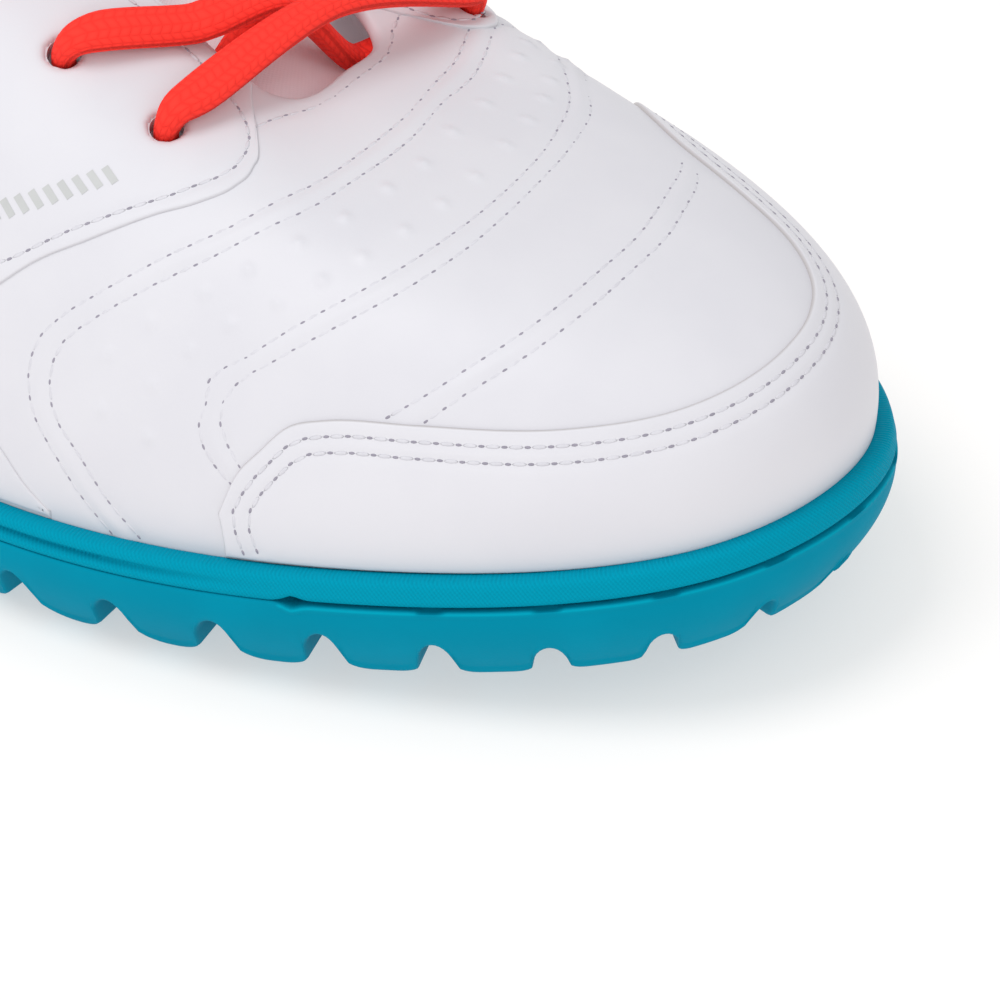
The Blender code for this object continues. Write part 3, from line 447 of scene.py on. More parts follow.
    def trace(self, rows: tuple, pitch: float, moved: float = 0.0) -> np.ndarray:
        """A smooth line through rows on the upper, evenly stepped by length.

        Args:
            rows: share around and share up.
            pitch: step along the line.
            moved: how far it is moved sideways.

        Returns:
            Rows of share around and share up.
        """
        rows = np.asarray(rows, float)
        knots = lengths_along(self.point(*rows.T))
        fine = open_spline(knots, rows, np.linspace(0.0, knots[-1], 600))
        if moved:
            fine = self.shift(fine, moved)
        length = lengths_along(self.point(fine[:, 0], np.clip(fine[:, 1], 0.0, 1.0)))
        at = np.linspace(0.0, length[-1], max(2, int(round(length[-1] / pitch)) + 1))
        return resample(length, fine, at)

    def throat_edge(self, side: Side, along: float) -> float:
        """Share around where the throat's edge on one side is at a share of the length."""
        fine = np.linspace(0.25, 0.44, 200) if side is Side.LATERAL else np.linspace(0.75, 0.56, 200)
        x = self.point(fine, 1.0)[:, 0] / self.length + 0.5
        return float(np.interp(along, x, fine))

    def off_edge(self, edge: float, distance: float) -> tuple[float, float]:
        """Share around and up of the point a distance square off the throat's edge."""
        side = -1 if edge < 0.5 else 1
        offset, share = np.meshgrid(np.linspace(-0.10, 0.06, 81), np.linspace(1.0, 0.3, 141), indexing="ij")
        ahead = unit(self.point(edge + 0.004, 1.0) - self.point(edge - 0.004, 1.0))
        around = edge - side * offset
        away = self.point(around, share) - self.point(edge, 1.0)
        miss = (away @ ahead) ** 2 + (np.linalg.norm(away, axis=-1) - distance) ** 2
        best = np.unravel_index(np.argmin(miss), miss.shape)
        return float(around[best]), float(share[best])


@dataclass
class Body:
    """Points and faces of one piece while it is made."""

    points: list = field(default_factory=list)
    faces: list = field(default_factory=list)
    count: int = 0

    def add(self, points: np.ndarray) -> np.ndarray:
        """Adds points and gives their numbers in the same layout."""
        flat = np.asarray(points, float).reshape(-1, 3)
        numbers = np.arange(self.count, self.count + len(flat)).reshape(np.asarray(points).shape[:-1])
        self.points.append(flat)
        self.count += len(flat)
        return numbers

    def quads(
        self, index: np.ndarray, closed: bool = False, flip: bool = False, skip: np.ndarray | None = None,
    ) -> None:
        """Faces between rows of points.

        Args:
            index: point numbers, one row for each row of the grid.
            closed: the last column joins the first.
            flip: turns the faces round.
            skip: faces left out, True where there is a hole.
        """
        right = np.roll(index, -1, axis=1) if closed else index[:, 1:]
        left = index if closed else index[:, :-1]
        corners = np.stack([left[:-1], right[:-1], right[1:], left[1:]], axis=-1)
        if flip:
            corners = corners[..., ::-1]
        corners = corners.reshape(-1, 4) if skip is None else corners[~skip]
        self.faces += corners.tolist()

    def strips(self, ring: np.ndarray, upwards: bool) -> None:
        """Closes a ring from its lateral to its medial side."""
        columns = len(ring)
        for i in range(columns // 2):
            picks = (i, i + 1, (columns - i - 1) % columns, (columns - i) % columns)
            corners = list(dict.fromkeys(int(ring[k]) for k in picks))
            self.faces.append(corners if upwards else corners[::-1])

    def make(self, name: str, finish: bpy.types.Material, sharp: float = 180.0) -> bpy.types.Object:
        """The mesh object.

        Args:
            name: the piece's name.
            finish: its material.
            sharp: edges steeper than this many degrees stay sharp.

        Returns:
            The new object at the origin.
        """
        mesh = bpy.data.meshes.new(name)
        mesh.from_pydata(np.vstack(self.points).tolist(), [], self.faces)
        mesh.materials.append(finish)
        mesh.shade_smooth()
        if sharp < 180.0:
            mesh.set_sharp_from_angle(angle=math.radians(sharp))
        return link_new(name, mesh)


def point_values(made: bpy.types.Object, name: str, values: np.ndarray) -> None:
    """Stores one number for each point of a piece."""
    attribute = made.data.attributes.new(name, "FLOAT", "POINT")
    attribute.data.foreach_set("value", np.asarray(values, np.float32).ravel())


def point_uvs(made: bpy.types.Object, values: np.ndarray) -> None:
    """Gives a piece a UV map from one pair of numbers for each point."""
    mesh = made.data
    layer = mesh.uv_layers.new(name="cloth")
    loops = np.zeros(len(mesh.loops), np.int32)
    mesh.loops.foreach_get("vertex_index", loops)
    layer.data.foreach_set("uv", np.asarray(values, np.float32)[loops].ravel())


@dataclass
class Relief:
    """Soft troughs and ridges that follow lines on a surface."""

    points: list = field(default_factory=list)
    heights: list = field(default_factory=list)
    widths: list = field(default_factory=list)

    def add(self, points: np.ndarray, height: float, width: float) -> None:
        """Adds one line of points with its height and half width."""
        self.points.append(points)
        self.heights.append(height)
        self.widths.append(width)

    def at(self, places: np.ndarray) -> np.ndarray:
        """How far the surface moves out at each place."""
        flat = places.reshape(-1, 3)
        total = np.zeros(len(flat))
        for points, height, width in zip(self.points, self.heights, self.widths):
            low, high = points.min(0) - 4 * width, points.max(0) + 4 * width
            near = np.flatnonzero(((flat > low) & (flat < high)).all(1))
            total[near] += height * np.exp(-((nearest(points, flat[near]) / width) ** 2))
        return total.reshape(places.shape[:-1])


def nearest(targets: np.ndarray, places: np.ndarray) -> np.ndarray:
    """Distance from each place to the nearest target."""
    tree = KDTree(len(targets))
    for i, target in enumerate(targets):
        tree.insert(target, i)
    tree.balance()
    return np.array([tree.find(place)[2] for place in places])


@dataclass
class NodeSheet:
    """Adds and links nodes in one tree."""

    tree: bpy.types.NodeTree

    def add(self, kind: str, **settings: object) -> bpy.types.Node:
        """A new node with its settings."""
        node = self.tree.nodes.new(kind)
        for name, value in settings.items():
            setattr(node, name, value)
        return node

    def put(self, socket: bpy.types.NodeSocket, value: object) -> None:
        """Links a socket or sets its value."""
        if isinstance(value, bpy.types.NodeSocket):
            self.tree.links.new(value, socket)
        else:
            socket.default_value = value

    def fill(self, node: bpy.types.Node, values: dict[str, object]) -> None:
        """Links or sets the inputs named."""
        for label, value in values.items():
            self.put(node.inputs[label], value)

    def math(self, operation: str, *values: object) -> bpy.types.NodeSocket:
        """A Math node's result."""
        node = self.add("ShaderNodeMath", operation=operation)
        for socket, value in zip(node.inputs, values):
            self.put(socket, value)
        return node.outputs[0]

    def split(self, vector: bpy.types.NodeSocket) -> bpy.types.Node:
        """A node that gives a vector's X, Y and Z."""
        node = self.add("ShaderNodeSeparateXYZ")
        self.put(node.inputs[0], vector)
        return node

    def mix(self, factor: object, first: object, second: object) -> bpy.types.NodeSocket:
        """A mix of two colours."""
        node = self.add("ShaderNodeMix", data_type="RGBA")
        self.put(node.inputs[0], factor)
        self.put(node.inputs[6], first)
        self.put(node.inputs[7], second)
        return node.outputs[2]


@dataclass(frozen=True)
class EffectGroups:
    """Shader node groups that several finishes share. Each puts out Height and Shade; for twill, weave and braid
    Shade follows the height, so their finishes paint shade into the hollows, and for grain it is the slow unevenness
    of tone.
    """

    def _start(self, name: str, inputs: dict[str, float]) -> tuple[NodeSheet, bpy.types.Node, bpy.types.Node]:
        """A new group with a vector input, the named number inputs and the two outputs."""
        tree = bpy.data.node_groups.new(name, "ShaderNodeTree")
        tree.interface.new_socket("Vector", in_out="INPUT", socket_type="NodeSocketVector")
        for label, value in inputs.items():
            socket = tree.interface.new_socket(label, in_out="INPUT", socket_type="NodeSocketFloat")
            socket.default_value = value
        for label in ("Height", "Shade"):
            tree.interface.new_socket(label, in_out="OUTPUT", socket_type="NodeSocketFloat")
        sheet = NodeSheet(tree)
        return sheet, sheet.add("NodeGroupInput"), sheet.add("NodeGroupOutput")

    def grain(self) -> bpy.types.NodeTree:
        """Fine pores with a slow unevenness, for leather and moulded rubber."""
        sheet, given, out = self._start("surface_grain", {"Pores": 1500.0, "Unevenness": 60.0})
        noises = []
        for label, detail in (("Pores", 2.0), ("Unevenness", 3.0)):
            noise = sheet.add("ShaderNodeTexNoise")
            sheet.fill(noise, {"Vector": given.outputs["Vector"], "Scale": given.outputs[label], "Detail": detail})
            noises.append(noise.outputs["Fac"])
        pores, slow = noises
        sheet.fill(out, {"Height": sheet.math("ADD", pores, sheet.math("MULTIPLY", slow, 0.6)), "Shade": slow})
        return sheet.tree

    def twill(self) -> bpy.types.NodeTree:
        """Slanted fine ribs on coordinates in millimetres."""
        sheet, given, out = self._start("fine_twill", {"Pitch": 0.7, "Slant": 0.8})
        split = sheet.split(given.outputs["Vector"])
        lean = sheet.math("MULTIPLY", split.outputs["Y"], given.outputs["Slant"])
        turns = sheet.math("DIVIDE", sheet.math("ADD", split.outputs["X"], lean), given.outputs["Pitch"])
        wave = sheet.math("SINE", sheet.math("MULTIPLY", turns, math.tau))
        crossing = sheet.math("DIVIDE", sheet.math("SUBTRACT", split.outputs["X"], lean), given.outputs["Pitch"])
        other = sheet.math("SINE", sheet.math("MULTIPLY", crossing, math.tau))
        height = sheet.math("ADD", wave, sheet.math("MULTIPLY", other, 0.4))
        sheet.fill(out, {"Height": height, "Shade": sheet.math("MULTIPLY_ADD", height, 0.35, 0.5)})
        return sheet.tree

    def weave(self) -> bpy.types.NodeTree:
        """Plain weave on coordinates in millimetres."""
        sheet, given, out = self._start("plain_weave", {"Pitch": 0.6})
        split = sheet.split(given.outputs["Vector"])
        waves = []
        for axis in ("X", "Y"):
            turns = sheet.math("DIVIDE", split.outputs[axis], given.outputs["Pitch"])
            waves.append(sheet.math("SINE", sheet.math("MULTIPLY", turns, math.tau)))
        height = sheet.math("MULTIPLY", waves[0], waves[1])
        sheet.fill(out, {"Height": height, "Shade": sheet.math("MULTIPLY_ADD", height, 0.5, 0.5)})
        return sheet.tree

    def braid(self) -> bpy.types.NodeTree:
        """Herringbone cells of a braided lace: X goes across it and Y along it, in millimetres."""
        sheet, given, out = self._start("lace_braid", {"Column": 1.3, "Pitch": 1.15, "Slant": 0.62})
        split = sheet.split(given.outputs["Vector"])
        fold = sheet.math("PINGPONG", split.outputs["X"], given.outputs["Column"])
        lean = sheet.math("MULTIPLY", fold, given.outputs["Slant"])
        turns = sheet.math("DIVIDE", sheet.math("ADD", split.outputs["Y"], lean), given.outputs["Pitch"])
        ribs = sheet.math("ABSOLUTE", sheet.math("SINE", sheet.math("MULTIPLY", turns, math.pi)))
        across = sheet.math("DIVIDE", fold, given.outputs["Column"])
        crown = sheet.math("SINE", sheet.math("MULTIPLY", across, math.pi))
        height = sheet.math("MULTIPLY", sheet.math("POWER", ribs, 0.6), sheet.math("POWER", crown, 0.35))
        sheet.fill(out, {"Height": height, "Shade": height})
        return sheet.tree


class Pattern(Enum):
    """Which shared effect a finish wears, and where it reads its coordinates."""

    GRAIN = "surface_grain"
    TWILL = "fine_twill"
    WEAVE = "plain_weave"
    BRAID = "lace_braid"


@dataclass(frozen=True)
class Finish:
    """One material of the shoe: a colour, a darker colour mixed in by its pattern (painted shade in the hollows of
    twill, weave and braid, uneven tone for grain), a pattern and its bump.
    """

    name: str
    colour: tuple[float, float, float]
    # Darker colour: painted shade in the hollows of twill, weave and braid; uneven tone for grain.
    shade_and_tone_colour: tuple[float, float, float]
    roughness: float
    pattern: Pattern
    bump: float
    depth: float = 0.05 * MM
    shade_and_tone_amount: float = 0.5
    sizes: tuple = ()
    # Colour painted where the edge attribute is set: painted shade along overlay rims and cut walls, a painted
    # highlight on the outsole's groove lip.
    edge: tuple[float, float, float] | None = None
    sheen: float = 0.0
    specular: float = 0.5
    # Emission in the finish's own colour: a painted glow.
    painted_glow: float = 0.0

    def make(self) -> bpy.types.Material:
        """The material with its nodes."""
        made = bpy.data.materials.new(self.name)
        made.use_nodes = True
        made.diffuse_color = (*self.colour, 1.0)
        sheet = NodeSheet(made.node_tree)
        shader = made.node_tree.nodes["Principled BSDF"]
        coordinates = sheet.add("ShaderNodeTexCoord")
        source = coordinates.outputs["Object" if self.pattern is Pattern.GRAIN else "UV"]
        effect = sheet.add("ShaderNodeGroup", node_tree=bpy.data.node_groups[self.pattern.value])
        sheet.put(effect.inputs["Vector"], source)
        for label, value in self.sizes:
            effect.inputs[label].default_value = value
        # Mixes in the darker colour where Shade is low: painted shade in the hollows of twill, weave and braid,
        # uneven tone for grain.
        low, high = (1.0, 0.0) if self.pattern is not Pattern.GRAIN else (0.62, 0.38)
        share = sheet.add("ShaderNodeMapRange")
        sheet.fill(share, {
            "Value": effect.outputs["Shade"], "From Min": high, "From Max": low,
            "To Min": self.shade_and_tone_amount, "To Max": 0.0,
        })
        colour = sheet.mix(share.outputs["Result"], (*self.colour, 1.0), (*self.shade_and_tone_colour, 1.0))
        # The edge attribute paints shade along overlay rims and a highlight on the outsole's groove lip.
        if self.edge:
            mask = sheet.add("ShaderNodeAttribute", attribute_name="edge")
            colour = sheet.mix(mask.outputs["Fac"], colour, (*self.edge, 1.0))
        rough = sheet.math("MULTIPLY_ADD", effect.outputs["Shade"], 0.12, self.roughness - 0.06)
        bump = sheet.add("ShaderNodeBump")
        sheet.fill(bump, {"Strength": self.bump, "Distance": self.depth, "Height": effect.outputs["Height"]})
        # Emission Strength carries the painted glow.
        sheet.fill(shader, {
            "Base Color": colour, "Roughness": rough, "Normal": bump.outputs["Normal"], "Metallic": 0.0,
            "Specular IOR Level": self.specular, "Sheen Weight": self.sheen,
            "Emission Color": (*self.colour, 1.0), "Emission Strength": self.painted_glow,
        })
        return made


# Each finish's second colour is mixed in by its pattern: uneven tone for the grain finishes, painted shade in the
# hollows for the twill, weave and braid finishes.
LEATHER = Finish(
    "white_leather_satin", (0.665, 0.66, 0.70), (0.63, 0.625, 0.67), 0.46, Pattern.GRAIN, 0.30, 0.03 * MM,
    # edge: grey-brown painted shade along the overlays' rims and cut walls.
    sizes=(("Pores", 2200.0), ("Unevenness", 70.0)), edge=(0.40, 0.38, 0.39), specular=0.3,
)
GUARD_LEATHER = Finish(
    "guard_leather_smooth", (0.675, 0.67, 0.71), (0.645, 0.64, 0.685), 0.42, Pattern.GRAIN, 0.22, 0.03 * MM,
    # edge: painted shade along the guard's rim and cut wall.
    sizes=(("Pores", 2600.0), ("Unevenness", 60.0)), edge=(0.42, 0.39, 0.38), specular=0.33,
)
THREAD = Finish(
    "white_thread", (0.64, 0.635, 0.68), (0.55, 0.545, 0.59), 0.6, Pattern.GRAIN, 0.5, 0.05 * MM,
    sizes=(("Pores", 4200.0), ("Unevenness", 900.0)),
)
# Dark grey-violet beads at the needle holes: painted shade where the thread dives into the leather.
NEEDLE_SHADE = Finish(
    "needle_hole_shade", (0.33, 0.31, 0.37), (0.26, 0.25, 0.30), 0.8, Pattern.GRAIN, 0.2,
    sizes=(("Pores", 3000.0), ("Unevenness", 500.0)), specular=0.1,
)
PRINT_GREY = Finish(
    "grey_print", (0.51, 0.52, 0.52), (0.47, 0.48, 0.48), 0.55, Pattern.GRAIN, 0.3, 0.03 * MM,
    sizes=(("Pores", 3000.0), ("Unevenness", 400.0)),
)
OUTSOLE_RUBBER = Finish(
    "teal_outsole_rubber", (0.0, 0.25, 0.375), (0.0, 0.225, 0.34), 0.55, Pattern.GRAIN, 0.35, 0.05 * MM,
    # edge: lighter teal painted as a highlight on the groove's lower lip.
    sizes=(("Pores", 1700.0), ("Unevenness", 90.0)), edge=(0.0, 0.40, 0.53), specular=0.02,
)
MIDSOLE_FOAM = Finish(
    "teal_midsole_rib", (0.0, 0.295, 0.43), (0.0, 0.215, 0.325), 0.6, Pattern.TWILL, 0.5, 0.05 * MM, shade_and_tone_amount=0.55,
    sizes=(("Pitch", 0.56), ("Slant", 0.9)), specular=0.02,
)
LINING_CLOTH = Finish(
    "white_lining_cloth", (0.74, 0.72, 0.76), (0.55, 0.53, 0.58), 0.8, Pattern.WEAVE, 0.6, 0.08 * MM,
    sizes=(("Pitch", 0.9),), sheen=0.2, specular=0.2,
)
# Pale cloth with a pink tint that is painted light bounced from the coral lace; its glow is painted light too.
TONGUE_CLOTH = Finish(
    "pale_tongue_cloth", (0.76, 0.71, 0.75), (0.64, 0.58, 0.63), 0.72, Pattern.WEAVE, 0.3, 0.05 * MM, shade_and_tone_amount=0.25,
    sizes=(("Pitch", 0.55),), sheen=0.25, specular=0.25, painted_glow=0.08,
)
INSOLE_CLOTH = Finish(
    "grey_insole_cloth", (0.13, 0.13, 0.14), (0.06, 0.06, 0.07), 0.85, Pattern.WEAVE, 0.6, 0.1 * MM,
    sizes=(("Pitch", 1.1),), sheen=0.3, specular=0.2,
)
LACE_BRAID = Finish(
    "coral_lace_braid", (1.0, 0.048, 0.034), (0.70, 0.018, 0.014), 0.66, Pattern.BRAID, 0.7, 0.16 * MM,
    shade_and_tone_amount=0.45, sizes=(("Column", LACE_ROUND / 14), ("Pitch", 1.3), ("Slant", 0.6)), sheen=0.02, specular=0.06,
)


@dataclass
class Repeater:
    """Sets one small form on every point of a cloud, with a Geometry Nodes tree made here."""

    name: str
    form: Form
    length: float
    width: float
    height: float
    sides: int = 8
    sink: float = 0.0

    def _tree(self) -> bpy.types.NodeTree:
        """The tree: the form, turned to each point's facing and heading, made real and given its material."""
        tree = bpy.data.node_groups.new(f"repeat_{self.name}", "GeometryNodeTree")
        face = tree.interface
        face.new_socket("Geometry", in_out="INPUT", socket_type="NodeSocketGeometry")
        for label in ("Length", "Width", "Height", "Sink"):
            face.new_socket(label, in_out="INPUT", socket_type="NodeSocketFloat")
        face.new_socket("Sides", in_out="INPUT", socket_type="NodeSocketInt")
        face.new_socket("Finish", in_out="INPUT", socket_type="NodeSocketMaterial")
        face.new_socket("Geometry", in_out="OUTPUT", socket_type="NodeSocketGeometry")
        sheet = NodeSheet(tree)
        given, out = sheet.add("NodeGroupInput"), sheet.add("NodeGroupOutput")
        size = sheet.add("ShaderNodeCombineXYZ")
        sheet.fill(size, {axis: given.outputs[label] for axis, label in zip("XYZ", ("Length", "Width", "Height"))})
        if self.form is Form.BEAD:
            shape = sheet.add("GeometryNodeMeshUVSphere")
            sheet.fill(shape, {"Segments": given.outputs["Sides"], "Rings": 4, "Radius": 0.5})
        elif self.form is Form.SLAB:
            shape = sheet.add("GeometryNodeMeshCube")
            sheet.fill(shape, {"Size": (1.0, 1.0, 1.0)})
        else:
            shape = sheet.add("GeometryNodeMeshCone")
            sheet.fill(shape, {
                "Vertices": given.outputs["Sides"], "Radius Top": 0.38, "Radius Bottom": 0.5, "Depth": 1.0,
            })
        sized = sheet.add("GeometryNodeTransform")
        sheet.fill(sized, {"Geometry": shape.outputs["Mesh"], "Scale": size.outputs[0]})
        drop = sheet.add("ShaderNodeCombineXYZ")
        sheet.put(drop.inputs["Z"], sheet.math("MULTIPLY", given.outputs["Sink"], -1.0))
        sheet.put(sized.inputs["Translation"], drop.outputs[0])
        turned = sheet.add("FunctionNodeAxesToRotation", primary_axis="Z", secondary_axis="X")
        for label, name in (("Primary Axis", "facing"), ("Secondary Axis", "heading")):
            named = sheet.add("GeometryNodeInputNamedAttribute", data_type="FLOAT_VECTOR")
            named.inputs["Name"].default_value = name
            sheet.put(turned.inputs[label], named.outputs["Attribute"])
        stretch = sheet.add("GeometryNodeInputNamedAttribute", data_type="FLOAT_VECTOR")
        stretch.inputs["Name"].default_value = "stretch"
        placed = sheet.add("GeometryNodeInstanceOnPoints")
        sheet.fill(placed, {
            "Points": given.outputs["Geometry"], "Instance": sized.outputs["Geometry"],
            "Rotation": turned.outputs["Rotation"], "Scale": stretch.outputs["Attribute"],
        })
        real = sheet.add("GeometryNodeRealizeInstances")
        sheet.fill(real, {"Geometry": placed.outputs["Instances"]})
        finish = sheet.add("GeometryNodeSetMaterial")
        sheet.fill(finish, {"Geometry": real.outputs["Geometry"], "Material": given.outputs["Finish"]})
        sheet.fill(out, {"Geometry": finish.outputs["Geometry"]})
        return tree

    def spread(
        self, points: np.ndarray, facing: np.ndarray, heading: np.ndarray, finish: bpy.types.Material,
        stretch: np.ndarray | None = None,
    ) -> bpy.types.Object:
        """Makes the piece.

        Args:
            points: where each form stands.
            facing: its upward direction at each point.
            heading: its length direction at each point.
            finish: the material.
            stretch: a scale for each point, 1 if left out.

        Returns:
            One plain mesh object.
        """
        cloud = bpy.data.meshes.new(self.name)
        cloud.from_pydata(np.asarray(points).tolist(), [], [])
        stretch = np.ones_like(points) if stretch is None else stretch
        for name, values in (("facing", facing), ("heading", heading), ("stretch", stretch)):
            attribute = cloud.attributes.new(name, "FLOAT_VECTOR", "POINT")
            attribute.data.foreach_set("vector", np.asarray(values, np.float32).ravel())
        made = link_new(self.name, cloud)
        tree = self._tree()
        modifier = made.modifiers.new("repeat", "NODES")
        modifier.node_group = tree
        wanted = {
            "Length": self.length, "Width": self.width, "Height": self.height, "Sink": self.sink,
            "Sides": self.sides, "Finish": finish,
        }
        for item in tree.interface.items_tree:
            if item.in_out == "INPUT" and item.name in wanted:
                modifier[item.identifier] = wanted[item.name]
        graph = bpy.context.evaluated_depsgraph_get()
        mesh = bpy.data.meshes.new_from_object(made.evaluated_get(graph))
        made.modifiers.remove(modifier)
        made.data = mesh
        mesh.name = self.name
        if self.form is Form.BEAD:
            mesh.shade_smooth()
        return made


def even_columns(spans: tuple, closed: bool = True) -> np.ndarray:
    """Shares around with their own spacing in each span, graded smoothly.

    Args:
        spans: rows of place around and wanted spacing as a share around.
        closed: leaves the last share out, as it meets the first.

    Returns:
        The shares.
    """
    fine = np.linspace(spans[0][0], spans[-1][0], 4001)
    density = 1.0 / np.interp(fine, [s[0] for s in spans], [s[1] for s in spans])
    total = np.concatenate([[0.0], np.cumsum(0.5 * (density[1:] + density[:-1]) * np.diff(fine))])
    count = int(round(total[-1] / 2)) * 2
    columns = np.interp(np.linspace(0.0, total[-1], count + 1), total, fine)
    return columns[:-1] if closed else columns


@dataclass
class Sole:
    """Outsole with its lugs and studs, midsole with its recess, and insole.

    gap_rear and gap_toe shape the gaps between lugs: half width of the arch, width of the lugs' rounded corners, and
    how high those corners go.
    """

    last: Last
    lug_count: int = 47
    first_gap: float = 0.93
    lug_band: float = 12.0 * MM
    lug_taper: float = 5.4 * MM
    taper_turn: float = 1.8
    gap_rear: tuple = (2.7 * MM, 4.2 * MM, 2.8 * MM)
    gap_toe: tuple = (2.2 * MM, 2.2 * MM, 1.4 * MM)
    gap_rise: float = 5.2 * MM
    rear_gap_rise: float = 2.2 * MM
    foot_round: float = 1.3 * MM
    groove_start: float = 0.3965
    groove_width: float = 0.55 * MM
    groove_depth: float = 0.9 * MM
    joint_width: float = 0.04 * MM
    joint_depth: float = 0.15 * MM
    pit_width: float = 1.1 * MM
    pit_depth: float = 0.9 * MM
    nick_half_width: float = 0.8 * MM
    nick_fade: float = 1.3 * MM
    rim_round: float = 1.0 * MM
    rim_draft: float = 0.28 * MM
    side_hollow: float = 1.0 * MM
    stud_top: float = 8.6 * MM
    stud_pitch: float = 14.5 * MM
    insole_thickness: float = 3.6 * MM
    recess_depth: float = 3.2 * MM
    upper_wall: float = 2.0 * MM

    def _columns(self) -> np.ndarray:
        """Shares around, close where the photograph looks and the same on both sides."""
        fine, plain = 0.45 * MM / self.last.girth, 1.5 * MM / self.last.girth
        half = even_columns(((0.0, plain), (0.31, plain), (0.35, fine), (0.5, fine)), closed=False)
        return np.concatenate([half, 1.0 - half[-2:0:-1]])

    def _groove(self, around: np.ndarray) -> tuple[np.ndarray, np.ndarray]:
        """Width and depth of the joint's groove: open from its pit to the toe and round it, closed behind."""
        last = 1.0 - self.groove_start
        mask = smooth_step((around - self.groove_start) / 0.002) * smooth_step((last - around) / 0.002)
        pit = np.exp(-(((around - self.groove_start - 0.0015) / 0.0022) ** 2))
        pit += np.exp(-(((around - last + 0.0015) / 0.0022) ** 2))
        width = self.joint_width + mask * self.groove_width + pit * self.pit_width
        depth = self.joint_depth + mask * self.groove_depth + pit * self.pit_depth
        return width, depth

    def _nicks(self, around: np.ndarray) -> np.ndarray:
        """Shallow wide nicks in the groove's lower lip."""
        phase = around * self.lug_count - self.first_gap
        near = np.abs(phase - np.round(phase)) * self.last.girth / self.lug_count
        mask = (around > self.groove_start + 0.01) & (around < 0.99 - self.groove_start + 0.01)
        return np.where(mask, 1.0 - smooth_step((near - self.nick_half_width) / self.nick_fade), 0.0)

    def _taper(self, height: np.ndarray | float, full: float) -> np.ndarray | float:
        """How far the skirt has drawn in at a height."""
        return self.lug_taper * (1.0 - height / full) ** self.taper_turn

    def _rings(self, around: np.ndarray, rows: list, lift: float | np.ndarray = 0.0) -> np.ndarray:
        """Rings of points from rows of inset and height."""
        grid = []
        for inset, height in rows:
            plan = self.last.on_outline(around, np.broadcast_to(inset, around.shape))
            grid.append(np.column_stack([plan, np.broadcast_to(lift + height, around.shape)]))
        return np.array(grid)

    @staticmethod
    def _close(
        name: str, finish: bpy.types.Material, grid: np.ndarray, sharp: float, flip: bool = False,
    ) -> bpy.types.Object:
        """The closed piece over rings of points, its first and last ring filled."""
        body = Body()
        index = body.add(grid)
        body.quads(index, closed=True, flip=flip)
        body.strips(index[0], flip)
        body.strips(index[-1], not flip)
        return body.make(name, finish, sharp)

    def build_outsole(self, finish: bpy.types.Material) -> bpy.types.Object:
        """Skirt with rounded lugs, and the plate across it."""
        last, around = self.last, self._columns()
        spring = last.spring(last.on_outline(around)[:, 0])
        phase = around * self.lug_count - self.first_gap
        near = np.abs(phase - np.round(phase)) * last.girth / self.lug_count
        toe = smooth_step((around - 0.36) / 0.10) * smooth_step((0.64 - around) / 0.10)
        arch, corner, lift = (rear + (front - rear) * toe for rear, front in zip(self.gap_rear, self.gap_toe))
        behind = smooth_step((0.455 - np.minimum(around, 1.0 - around)) / 0.06)
        rise = self.gap_rise + self.rear_gap_rise * behind
        inside = np.sqrt(np.clip(1.0 - (near / arch) ** 2, 0.0, 1.0))
        turn = np.clip(1.0 - (near - arch) / corner, 0.0, 1.0)
        raised = lift * (1.0 - np.sqrt(1.0 - turn**2)) + (rise - lift) * inside
        full = last.parting_height - 1.5 * MM
        width, depth = self._groove(around)
        nick = self._nicks(around)
        lip = 0.16 * MM * smooth_step((width - 0.3 * MM) / (0.2 * MM))
        rows = []
        top = last.parting_height - 0.5 * width
        rows.append((depth + 0.8 * MM, top + 0.0 * around))
        rows.append((depth, top))
        rows.append((0.25 * MM - lip + 0.5 * MM * nick, top - 0.02 * MM - 0.25 * MM * nick))
        rows.append((0.05 * MM - lip, top - 0.20 * MM))
        rows.append((-lip * 0.9, top - 0.45 * MM - 0.1 * MM * nick))
        rows.append((0.0 * around, top - 0.9 * MM))
        side_end = raised + self.foot_round
        for t in np.linspace(0.0, 1.0, 14):
            height = full * (1.0 - t) + side_end * t
            rows.append((self._taper(height, full), height))
        edge = self._taper(side_end, full)
        for turn in (30.0, 60.0, 90.0):
            a = math.radians(turn)
            step = self.foot_round * (1.0 - math.cos(a))
            rows.append((edge + step, raised + self.foot_round * (1.0 - math.sin(a))))
        inner = self.lug_taper + self.lug_band
        for t in (0.25, 0.6, 0.92, 1.0):
            rows.append(((edge + self.foot_round) * (1.0 - t) + inner * t, raised + 0.0 * around))
        rows.append((inner + 0.6 * MM, np.minimum(raised + 0.7 * MM, last.lug_height)))
        rows.append((inner + 1.3 * MM + 0.0 * around, last.lug_height + 0.0 * around))
        grid = self._rings(around, rows, spring)
        made = self._close("outsole_rubber_skirt", finish, grid, 50.0, flip=True)
        # Painted highlight: where the groove is open, its lower lip takes the lighter edge colour, strongest on its
        # middle row and left out at the nicks.
        light = np.zeros(grid.shape[:2])
        opened = smooth_step((width - 0.3 * MM) / (0.2 * MM))
        light[2:5] = opened * (1.0 - nick) * np.array([[0.1], [0.5], [0.1]])
        point_values(made, "edge", light)
        return made

